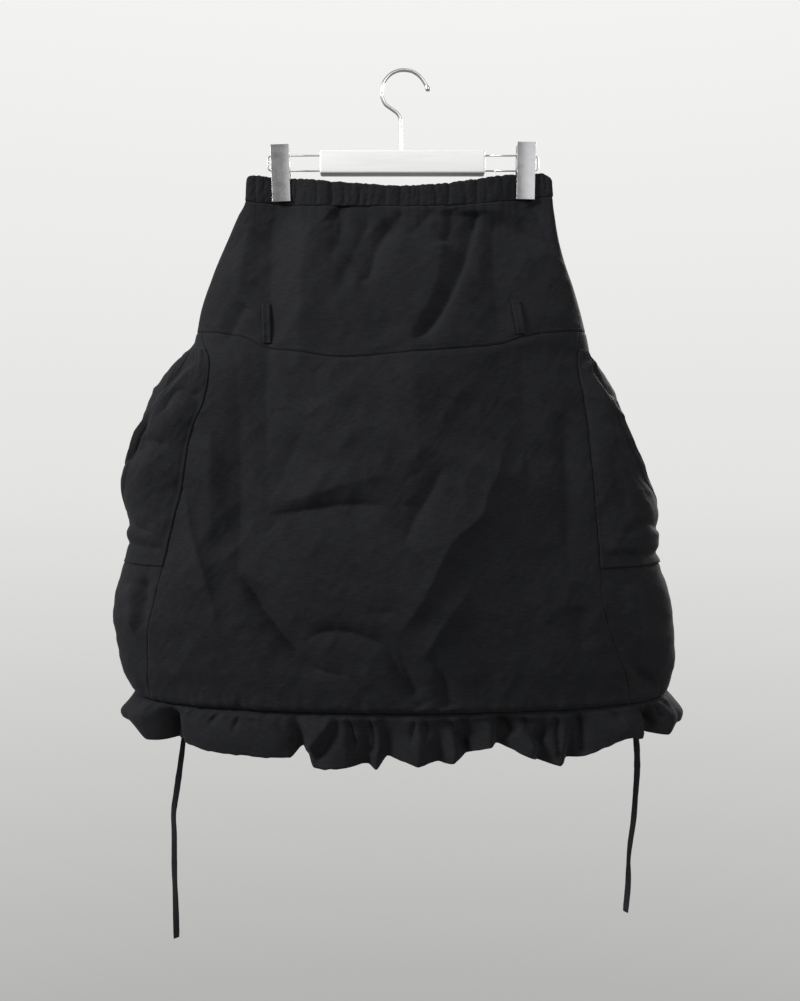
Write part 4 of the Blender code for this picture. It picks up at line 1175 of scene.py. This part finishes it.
def pocket_place(side, seed):
    """A pocket's outer layer, from its front seam to its mouth, which stands off the panel."""

    def share_of(across, down):
        return side_share(side, read(MOUTH, down, 1) * across, down)

    def place(u, v):
        across = 1 - u if side == LEFT else u
        top = settled_top(share_of, across)
        turn = hem_down(share_of(across, HEM_SIDE)) - TURN_RADIUS
        down = top + (turn - top) * (POCKET_TOP + (POCKET_BOTTOM - POCKET_TOP) * v)
        share = share_of(across, down)
        body = POCKET_BULGE * np.sin(np.pi * np.minimum(across, POCKET_CREST))
        out = body + (MOUTH_BULGE - body) * ease(MOUTH_START, 1.0, across)
        out = out * ease(0.0, POCKET_FULL, v) + SAG_BULGE * ease(SAG_START, POCKET_SHUTS, v) * across
        out *= 1 - ease(POCKET_SHUTS, 1.0, v)
        mouth, seam = skin(share_of(1.0, down), down), skin(share_of(0.0, down), down)
        from_mouth = (1 - across) * np.linalg.norm(mouth - seam, axis=-1)
        band = 1.1 * (1 - ease(BAND_AT_MOUTH - 1.2, BAND_AT_MOUTH + 0.4, from_mouth))
        x = skin(share, down)[..., 0]
        small = 0.5 * crumple(x * 1.3, down, seed) * ease(0.0, 0.12, v) * (1 - ease(0.9, 1.0, v))
        top_gathers = 1.6 * wave(across * 60, v, 6.0, 5.0, seed + 5) * (1 - ease(0.0, 0.22, v))
        inside = ease(0.0, 0.08, across) * ease(0.0, 0.03, v) * (1 - ease(0.97, 1.0, v))
        stands = np.maximum(out + band + small + top_gathers + side_lift(share, down), 0.0) * inside
        under = folds_at(share, down) + crumple(x, down, PANEL_SEED)
        return raised(share, down, POCKET_LIES + under + stands)

    return place


POCKET_FLAT = (110.0, 230.0)
for name, side, seed in (("left", LEFT, 111), ("right", RIGHT, 121)):
    panel = lay_cloth("side_panel_" + name, 110, 150, side_place(side), SIDE_FLAT)
    pocket = lay_cloth("pocket_" + name, 70, 110, pocket_place(side, seed), POCKET_FLAT, side=1.0)

# %% [markdown]
# ## The hem
#
# Inside the turned hem is the drawcord's channel, a strip of cloth gathered all round. Below it
# hangs the ruffle, in a front and a back half. It is cut much wider than the hem, so it stands in
# lobes between pleats, and each lobe's lower edge hangs at its own height.

# %% The ruffle's sizes
# x, out, down
RUFFLE = (
    (-294.0, 2.0, 706.0),
    (-272.0, 7.0, 724.0),
    (-253.0, -8.0, 724.0),
    (-234.0, 3.0, 725.0),
    (-198.0, 9.0, 731.0),
    (-147.0, 8.0, 735.0),
    (-122.0, 3.0, 736.0),
    (-112.0, -7.0, 724.0),
    (-96.0, 6.0, 745.0),
    (-62.0, 7.0, 745.0),
    (-42.0, -5.0, 743.0),
    (-31.0, 4.0, 747.0),
    (-21.0, -6.0, 736.0),
    (12.0, 7.0, 743.0),
    (35.0, -4.0, 741.0),
    (50.0, 5.0, 741.0),
    (66.0, -5.0, 733.0),
    (87.0, 4.0, 726.0),
    (101.0, -7.0, 724.0),
    (129.0, 7.0, 736.0),
    (146.0, -4.0, 741.0),
    (162.0, 6.0, 745.0),
    (180.0, -5.0, 740.0),
    (190.0, 4.0, 736.0),
    (225.0, 8.0, 720.0),
    (250.0, 4.0, 722.0),
    (263.0, -6.0, 717.0),
    (277.0, 6.0, 720.0),
    (290.0, 2.0, 709.0),
)
RUFFLE_AT_BACK = (
    (-294.0, 2.0, 706.0),
    (-270.0, 6.0, 720.0),
    (-246.0, -6.0, 722.0),
    (-198.0, 7.0, 734.0),
    (-184.0, -4.0, 729.0),
    (-160.0, 6.0, 735.0),
    (-128.0, -5.0, 731.0),
    (-76.0, 7.0, 741.0),
    (-58.0, -6.0, 735.0),
    (-30.0, 4.0, 740.0),
    (6.0, -5.0, 737.0),
    (34.0, 7.0, 743.0),
    (88.0, -6.0, 733.0),
    (104.0, 5.0, 737.0),
    (150.0, -5.0, 731.0),
    (166.0, 7.0, 736.0),
    (216.0, -5.0, 725.0),
    (232.0, 5.0, 728.0),
    (268.0, -4.0, 718.0),
    (290.0, 2.0, 709.0),
)
RUFFLE_SEWN = 0.7  # how far its top edge is sewn into the turned hem
RUFFLE_TOP_INSET, RUFFLE_FLARE, RUFFLE_MIDDLE = 8.6, 5.2, 700.0
RUFFLE_BOLD, RUFFLE_THICKNESS = 1.4, 0.6  # how much its lobes are enlarged, and its cloth

# the pleats between the lobes, where the camera sees them
# height, width left, width right, crispness, fade in, fade out, points (x, down)
PLEATS = (
    (-9.0, 7.0, 7.0, 1.2, 0.0, 0.1, (-252, 690), (-254, 742)),
    (-3.0, 4.0, 4.0, 1.2, 0.1, 0.5, (-205, 704), (-218, 722)),
    (-3.0, 3.0, 4.0, 1.2, 0.1, 0.5, (-180, 704), (-190, 728)),
    (-3.0, 4.0, 3.0, 1.2, 0.1, 0.5, (-178, 702), (-160, 722)),
    (6.0, 30.0, 6.0, 1.2, 0.0, 0.1, (-78, 700), (-88, 722), (-110, 748)),
    (-6.0, 6.0, 8.0, 1.2, 0.0, 0.1, (-70, 704), (-80, 726), (-98, 762)),
    (-6.0, 5.0, 4.0, 1.2, 0.0, 0.3, (-66, 706), (-58, 726), (-55, 752)),
    (-7.0, 4.0, 5.0, 1.15, 0.0, 0.1, (-41, 700), (-33, 735), (-36, 752)),
    (-4.0, 4.0, 4.0, 1.2, 0.0, 0.4, (13, 700), (8, 746)),
    (-5.0, 4.0, 5.0, 1.2, 0.0, 0.4, (21, 700), (26, 741)),
    (-7.0, 8.0, 4.0, 1.2, 0.1, 0.2, (46, 706), (58, 728), (68, 750)),
    (-5.0, 4.0, 6.0, 1.2, 0.0, 0.2, (62, 703), (69, 752)),
    (-8.0, 14.0, 6.0, 1.2, 0.0, 0.1, (98, 700), (110, 712), (121, 730)),
    (-8.0, 6.0, 10.0, 1.2, 0.0, 0.2, (127, 703), (138, 722), (152, 742)),
    (-6.0, 4.0, 5.0, 1.15, 0.0, 0.1, (168, 703), (173, 760)),
    (-6.0, 4.0, 6.0, 1.15, 0.0, 0.1, (192, 700), (197, 752)),
    (-3.0, 4.0, 5.0, 1.2, 0.1, 0.5, (222, 694), (246, 722)),
    (-7.0, 8.0, 5.0, 1.2, 0.0, 0.1, (252, 686), (276, 722)),
    (-3.0, 2.5, 3.0, 1.2, 0.0, 0.2, (270, 684), (287, 715)),
)
print("pleats:", len(PLEATS))


# %% Gather the channel and the ruffle
CASING_UP, CASING_HEIGHT, CASING_INSET, CASING_THICKNESS = 15.0, 13.5, 17.9, 2.4
CASING_FLAT, RUFFLE_FLAT = (1250.0, 14.0), (900.0, 50.0)


def casing_place(u, v):
    """The channel, once round inside the turned hem."""
    share = 2 * u
    down = hem_down(share) - CASING_UP + CASING_HEIGHT * v
    x = skin(share, down)[..., 0]
    return skin(share, down, CASING_INSET + 0.5 * wave(x, down, 5.0, 40.0, 91))


hem_casing = lay_cloth("hem_casing", 500, 8, casing_place, CASING_FLAT, band_cloth,
                       closed=True, thickness=CASING_THICKNESS)


def ruffle_place(start, table, crisp, seed):
    """A half of the ruffle: crisp is how far its lobes are angular rather than round."""

    def place(u, v):
        share = start + u
        ends = ease(0.0, 0.03, u) * ease(0.0, 0.03, 1 - u)
        x = skin(share, RUFFLE_MIDDLE, RUFFLE_TOP_INSET / 2)[..., 0]
        top = hem_down(share) - RUFFLE_SEWN
        marks = np.array(table)
        lower = crisp * np.interp(x, marks[:, 0], marks[:, 2]) + (1 - crisp) * read(table, x, 2)
        lower += 0.6 * ends * wave(x, v * 0, 6.0, 5.0, seed)
        pleated = crisp * np.interp(x, marks[:, 0], marks[:, 1]) + (1 - crisp) * read(table, x, 1)
        stand = RUFFLE_BOLD * pleated * ease(-0.2, 0.8, v)
        gathered = 0.9 * wave(x, v * 0, 6.0, 5.0, seed + 1) * (1 - ease(0.1, 0.5, v))
        inset = RUFFLE_TOP_INSET - RUFFLE_FLARE * ease(0.0, 0.14, v) - stand
        down = top + (lower - top) * v
        spot = skin(share, down, inset)
        x_seen, level = seen(spot)
        in_front = np.sin(np.pi * share) > 0
        lift = RUFFLE_BOLD * fold_height(PLEATS, x_seen, level) * in_front * ease(0.05, 0.3, v)
        lift += ends * (gathered + 0.5 * crumple(x, down, seed + 2)) * ease(0.0, 0.1, v)
        return spot + outward(share, down) * lift[..., None]

    return place


for name, columns, rows, start, table, crisp, seed in (
    ("ruffle_front", 520, 28, 0.0, RUFFLE, 0.45, 101),
    ("ruffle_back", 400, 22, 1.0, RUFFLE_AT_BACK, 0.15, 111),
):
    piece = lay_cloth(name, columns, rows, ruffle_place(start, table, crisp, seed), RUFFLE_FLAT,
                      thickness=RUFFLE_THICKNESS)

# %% [markdown]
# ## Belt loops and stitches
#
# A belt loop is a narrow strip of folded cloth, sewn to the yoke at both ends and standing a
# little off it between them. The seams show as rows of short stitches. A stitch is a tiny rounded
# bar that lies on the cloth, and hundreds of them make a row, so each has only a few faces.

# %% Sew on the belt loops
# name, x0, down0, x1, down1
BELT_LOOPS = (
    ("belt_loop_left", -147.0, 262.0, -145.5, 304.0),
    ("belt_loop_right", 118.4, 258.5, 123.0, 296.0),
)
LOOP_WIDTH, LOOP_END, LOOP_MIDDLE, LOOP_THICKNESS = 8.0, 1.0, 2.6, 1.0
LOOP_RIDGE, LOOP_RIDGE_AT, LOOP_RIDGE_HALF = 0.35, 2.9, 0.9  # the ridge inside each folded edge
LOOP_FLAT = (LOOP_WIDTH, 42.0)


def yoke_lift(share, down):
    """How far the front yoke's cloth is lifted off the form, away from its gathers."""
    x = skin(share, down)[..., 0]
    small = ease(0.05, 0.3, np.sin(np.pi * share)) * crumple(x, down, YOKE_SEED)
    return folds_at(share, down) + small * ease(0.0, 8.0, yoke_seam(share) - down)


def loop_place(x0, down0, x1, down1):
    """A belt loop from one end to the other, with its middle off the yoke."""

    def place(u, v):
        down = down0 + (down1 - down0) * v
        across = LOOP_WIDTH * (u - 0.5)
        share = share_at(x0 + (x1 - x0) * v + across, down)
        lift = LOOP_END + (LOOP_MIDDLE - LOOP_END) * np.sin(np.pi * v)
        ridge = LOOP_RIDGE * np.exp(-(((np.abs(across) - LOOP_RIDGE_AT) / LOOP_RIDGE_HALF) ** 2))
        lift = lift + ridge - 0.5 * ease(3.2, LOOP_WIDTH / 2, np.abs(across))
        return raised(share, down, lift + yoke_lift(share, down))

    return place


for name, *ends in BELT_LOOPS:
    lay_cloth(name, 14, 40, loop_place(*ends), LOOP_FLAT, side=1.0, thickness=LOOP_THICKNESS)


# %% Sew the rows of stitches
STITCH_LENGTH, STITCH_PITCH, STITCH_HALF, STITCH_LIES = 2.0, 3.1, 0.28, 0.12
THREAD_DARK, THREAD_LIGHT = (0.003, 0.003, 0.0035), (0.008, 0.008, 0.009)
SEAM_ROW_ABOVE, TOPSTITCH_ABOVE, TOPSTITCH_X = 3.2, 8.0, (4.0, 84.0)

thread, thread_shader, thread_places, _ = new_material("black thread", 0.6, specular=0.3)
twisted = noise(thread_places, 900.0, 1.0)
feed(thread_shader, "Base Color", twisted.between(0.3, 0.7).colours(THREAD_DARK, THREAD_LIGHT))


def stitch_row(name, share, down):
    """A row of stitches that lie on the yoke along a line of the form."""
    places = raised(share, down, yoke_lift(share, down) + 0.1)
    ways = outward(share, down)
    steps = np.linalg.norm(np.diff(places, axis=0), axis=1)
    walked = np.concatenate([[0.0], np.cumsum(steps)])

    def at_distance(values, at):
        return Vector([np.interp(at, walked, values[:, i]) for i in range(3)])

    mesh = bmesh.new()
    for at in np.arange(STITCH_PITCH, walked[-1] - STITCH_PITCH, STITCH_PITCH):
        centre, way = at_distance(places, at), at_distance(ways, at).normalized()
        along = (at_distance(places, at + 1.0) - centre).normalized()
        turned = Matrix((along, way.cross(along), way)).transposed().to_4x4()
        sized = Matrix.Diagonal((STITCH_LENGTH / 2, STITCH_HALF, STITCH_HALF, 1.0))
        moved = Matrix.Translation((centre + way * STITCH_LIES) * MM) @ Matrix.Scale(MM, 4)
        bmesh.ops.create_icosphere(mesh, subdivisions=1, radius=1.0, matrix=moved @ turned @ sized)
    for face in mesh.faces:
        face.smooth = True
    row = finish_piece(name, mesh, thread)
    print(name, "faces:", len(row.data.polygons))


seam_share = np.linspace(0.05, 0.95, 300)
stitch_row("yoke_seam_stitches", seam_share, yoke_seam(seam_share) - SEAM_ROW_ABOVE)

top_x = np.linspace(*TOPSTITCH_X, 60)
top_down = read(YOKE_SEAM_FRONT, top_x, 1) - TOPSTITCH_ABOVE
stitch_row("yoke_topstitch", share_at(top_x, top_down), top_down)

# %% [markdown]
# ## The hanger
#
# The hanger is a white wooden bar with a wire hook through its middle. At each end a wire rail,
# bent into a long flat loop, carries a spring clip: two pressed steel jaws on a coil spring, with
# their side flanges folded in round the rail. The wire and the jaws are nickel plated, so they
# mirror the room and need only a little roughness.

# %% The hanger's finishes
WIRE_COLOUR = (0.36, 0.36, 0.365, 1.0)
CLIP_DARK, CLIP_LIGHT = (0.135, 0.135, 0.138), (0.175, 0.175, 0.178)
PAINT_DARK, PAINT_LIGHT = (0.39, 0.39, 0.385), (0.42, 0.42, 0.415)

wire_metal, wire_shader, wire_places, _ = new_material("plated wire", 0.22, metallic=1.0)
wire_shader.inputs["Base Color"].default_value = WIRE_COLOUR
feed(wire_shader, "Roughness", noise(wire_places, 420.0, 3.0) * 0.18 + 0.14)

clip_metal, clip_shader, clip_places, _ = new_material("plated sheet steel", 0.32, metallic=1.0)
cloudy = noise(clip_places, 160.0, 4.0)
brushed = noise(clip_places, 1.0, 2.0, (2600.0, 2600.0, 60.0))
clip_tint = (cloudy * 0.6 + brushed * 0.4).between(0.3, 0.7)
feed(clip_shader, "Base Color", clip_tint.colours(CLIP_DARK, CLIP_LIGHT))
feed(clip_shader, "Roughness", brushed * 0.2 + cloudy * 0.15 + 0.16)

paint, paint_shader, paint_places, _ = new_material("white satin paint", 0.38, specular=0.45)
grain = noise(paint_places, 1.0, 3.0, (18.0, 300.0, 300.0))
feed(paint_shader, "Base Color", grain.between(0.25, 0.75).colours(PAINT_DARK, PAINT_LIGHT))
feed(paint_shader, "Normal", bump(grain, 0.15, 0.0006))
print("finishes:", wire_metal.name, clip_metal.name, paint.name)

# %% Bend the hook and the rails
WIRE_RADIUS, RAIL_RADIUS, HOOK_STEP = 2.0, 0.9, 1.2
BALL_SWELL, BALL_MIDDLE, BALL_HALF = 0.85, 2.6, 2.8  # the ball on the hook's tip
TIP_SHARE = 0.35  # the tip's last ring, as a share of the wire
# x and z of the hook's middle line
HOOK = (
    (-3.3, -87.6),
    (-3.6, -62.0),
    (-3.9, -52.5),
    (-7.0, -46.0),
    (-14.0, -40.5),
    (-20.5, -35.5),
    (-24.0, -28.0),
    (-24.6, -21.0),
    (-22.3, -11.5),
    (-15.5, -3.0),
    (-7.0, 1.2),
    (0.5, 2.0),
    (9.0, 0.6),
    (17.0, -4.5),
    (23.0, -12.5),
    (27.5, -21.0),
)
hook_route = smooth_route([Vector((x, 0.0, z)) * MM for x, z in HOOK], HOOK_STEP * MM)
radii = []
for point in hook_route:
    from_tip = (hook_route[-1] - point).length / MM
    swell = BALL_SWELL * math.sqrt(max(0.0, 1 - ((from_tip - BALL_MIDDLE) / BALL_HALF) ** 2))
    wire = WIRE_RADIUS * (TIP_SHARE if from_tip < 0.1 else 1.0)
    radii.append((wire + swell) * MM)
mesh = sweep(hook_route, radii, radii, 24)
finish_piece("hanger_hook_wire", mesh, wire_metal, "hanger_hook")

BAR_LEFT, BAR_RIGHT, BAR_TOP, BAR_BOTTOM, BAR_DEPTH, BAR_ROUNDING = -92.4, 88.8, 87.9, 113.3, 15.0, 2.2
RAIL_UPPER, RAIL_LOWER, RAIL_CORNER, RAIL_LEFT, RAIL_RIGHT = 92.1, 108.9, 4.5, -149.6, 147.6
for name, bar_end, rail_end in (
    ("hanger_rail_left", BAR_LEFT - 0.3, RAIL_LEFT),
    ("hanger_rail_right", BAR_RIGHT + 0.3, RAIL_RIGHT),
):
    inward = math.copysign(RAIL_CORNER, bar_end - rail_end)
    bend = [math.radians(angle) for angle in range(90, -1, -10)]
    upper = [
        Vector((
            rail_end + inward * (1 - math.cos(angle)), 0.0,
            -RAIL_UPPER - RAIL_CORNER * (1 - math.sin(angle)),
        ))
        for angle in bend
    ]
    middle = -(RAIL_UPPER + RAIL_LOWER) / 2
    lower = [Vector((point.x, 0.0, 2 * middle - point.z)) for point in reversed(upper)]
    ends = [Vector((bar_end, 0.0, -RAIL_UPPER)), Vector((bar_end, 0.0, -RAIL_LOWER))]
    rail_route = [point * MM for point in (ends[0], *upper, *lower, ends[1])]
    mesh = sweep(rail_route, RAIL_RADIUS * MM, RAIL_RADIUS * MM)
    finish_piece(name + "_wire", mesh, wire_metal, name)


# %% Saw and round the bar
def round_edges(mesh, edge, segments):
    """Round every edge of a mesh, over this many millimetres."""
    bmesh.ops.bevel(mesh, geom=mesh.edges[:], offset=edge * MM, affect="EDGES", segments=segments,
                    profile=0.5, material=-1)


def shade_smooth(piece, angle):
    """Smooth shading, with the edges that are sharper than an angle in degrees kept sharp."""
    piece.data.shade_smooth()
    piece.data.set_sharp_from_angle(angle=math.radians(angle))


mesh = bmesh.new()
bmesh.ops.create_cube(mesh, size=1.0)
BAR_LOW = (BAR_LEFT, -BAR_DEPTH / 2, -BAR_BOTTOM)
BAR_HIGH = (BAR_RIGHT, BAR_DEPTH / 2, -BAR_TOP)
for vertex in mesh.verts:
    vertex.co = Vector(BAR_LOW[i] if vertex.co[i] < 0 else BAR_HIGH[i] for i in range(3)) * MM
round_edges(mesh, BAR_ROUNDING, 5)
bar = finish_piece("hanger_bar_painted", mesh, paint, "hanger_bar")
shade_smooth(bar, 50)
print("bar faces:", len(bar.data.polygons))

# %% [markdown]
# A clip's jaw is pressed from one sheet. Seen from the side it is a long flat plate whose lower
# end bends in to a narrow lip, which presses on the band, and its two flanges fold back round
# the rail. The profile is filled as one face and extruded over the plate's width, and the bends
# and edges are then rounded with a bevel.

# %% Press the clips
CLIP_WIDTH, CLIP_HEIGHT, CLIP_PLATE, CLIP_FACE, CLIP_LIP, CLIP_ROUNDING = 20.0, 63.0, 1.2, 8.4, 7.0, 0.3
FLANGE_TOP, FLANGE_BOTTOM, FLANGE_SLOPE, FLANGE_PLATE = 2.0, 30.0, 6.0, 1.0


def profile_block(mesh, outline, x0, x1, edge):
    """A piece with this outline in the Y-Z plane, from x0 to x1, with its edges rounded."""
    face = mesh.faces.new([mesh.verts.new(Vector((x0, y, z)) * MM) for y, z in outline])
    grown = bmesh.ops.extrude_face_region(mesh, geom=[face])["geom"]
    moved = [item for item in grown if isinstance(item, bmesh.types.BMVert)]
    bmesh.ops.translate(mesh, verts=moved, vec=Vector((x1 - x0, 0.0, 0.0)) * MM)
    bmesh.ops.recalc_face_normals(mesh, faces=mesh.faces)
    round_edges(mesh, edge, 3)


def clip_jaw(node, facing, x, down, tilt, grip):
    """One jaw: facing is -1 for a front jaw and 1 for a back one, grip how far out its lip is."""
    half, top, bottom = CLIP_WIDTH / 2, CLIP_HEIGHT / 2, -CLIP_HEIGHT / 2
    face, inner = CLIP_FACE, CLIP_FACE - CLIP_PLATE
    plate = (
        (face, top), (face, bottom + CLIP_LIP), (grip + CLIP_PLATE, bottom),
        (grip, bottom), (grip, bottom + 1.0), (inner, bottom + CLIP_LIP), (inner, top),
    )
    near = RAIL_RADIUS + 0.3
    flange = (
        (inner + 0.6, top - FLANGE_TOP), (inner + 0.6, top - FLANGE_BOTTOM + FLANGE_SLOPE),
        (near + 1.0, top - FLANGE_BOTTOM), (near, top - FLANGE_BOTTOM + 1.0), (near, top - FLANGE_TOP),
    )
    joined = bmesh.new()
    for outline, x0, x1 in (
        (plate, -half, half), (flange, -half, -half + FLANGE_PLATE), (flange, half - FLANGE_PLATE, half),
    ):
        pressed = bmesh.new()
        profile_block(pressed, [(facing * y, z) for y, z in outline], x0, x1, CLIP_ROUNDING)
        held = bpy.data.meshes.new("pressed")
        pressed.to_mesh(held)
        pressed.free()
        joined.from_mesh(held)
        bpy.data.meshes.remove(held)
    moved = Matrix.Translation(Vector((x, 0.0, -down)) * MM)
    turned = Matrix.Rotation(math.radians(tilt), 4, "Y")
    bmesh.ops.transform(joined, matrix=moved @ turned, verts=joined.verts)
    shade_smooth(finish_piece(node + "_jaw", joined, clip_metal, node), 40)


print("a jaw's width and height in mm:", CLIP_WIDTH, CLIP_HEIGHT)

# %% Wind the springs and close the clips on the band
SPRING_RADIUS, SPRING_LENGTH, SPRING_TURNS, SPRING_DOWN, SPRING_WIRE = 3.5, 14.0, 9, 16.0, 0.7
STEPS_A_TURN = 16
GRIP_DOWN, GRIP_REACH, GRIP_GAP = 140.0, 16.0, 0.3  # where a jaw presses on the band


def clip_spring(node, x, down):
    """The coil spring between a clip's two jaws, wound along X."""
    middle = -down + CLIP_HEIGHT / 2 - SPRING_DOWN
    steps = SPRING_TURNS * STEPS_A_TURN
    coil = []
    for i in range(steps + 1):
        angle = 2 * math.pi * i / STEPS_A_TURN
        along = x - SPRING_LENGTH / 2 + SPRING_LENGTH * i / steps
        around = SPRING_RADIUS * math.cos(angle), SPRING_RADIUS * math.sin(angle)
        coil.append(Vector((along, around[0], middle + around[1])) * MM)
    mesh = sweep(coil, SPRING_WIRE * MM, SPRING_WIRE * MM, 8)
    finish_piece(node + "_coil", mesh, wire_metal, node)


for side, x, down, tilt in zip(("left", "right"), CLIP_X, CLIP_DOWN, CLIP_TILT):
    for facing, way in ((-1, "front"), (1, "back")):
        shares = share_at(np.linspace(x - GRIP_REACH, x + GRIP_REACH, 9), GRIP_DOWN)
        shares = shares if facing < 0 else 2 - shares
        grip = float(np.abs(skin(shares, GRIP_DOWN)[:, 1]).max()) + GRIP_GAP
        clip_jaw("clip_" + side + "_" + way, facing, x, down, tilt, grip)
        print(side, way, "jaw's lip in mm from the middle:", round(grip, 1))
    clip_spring("clip_" + side + "_spring", x, down)
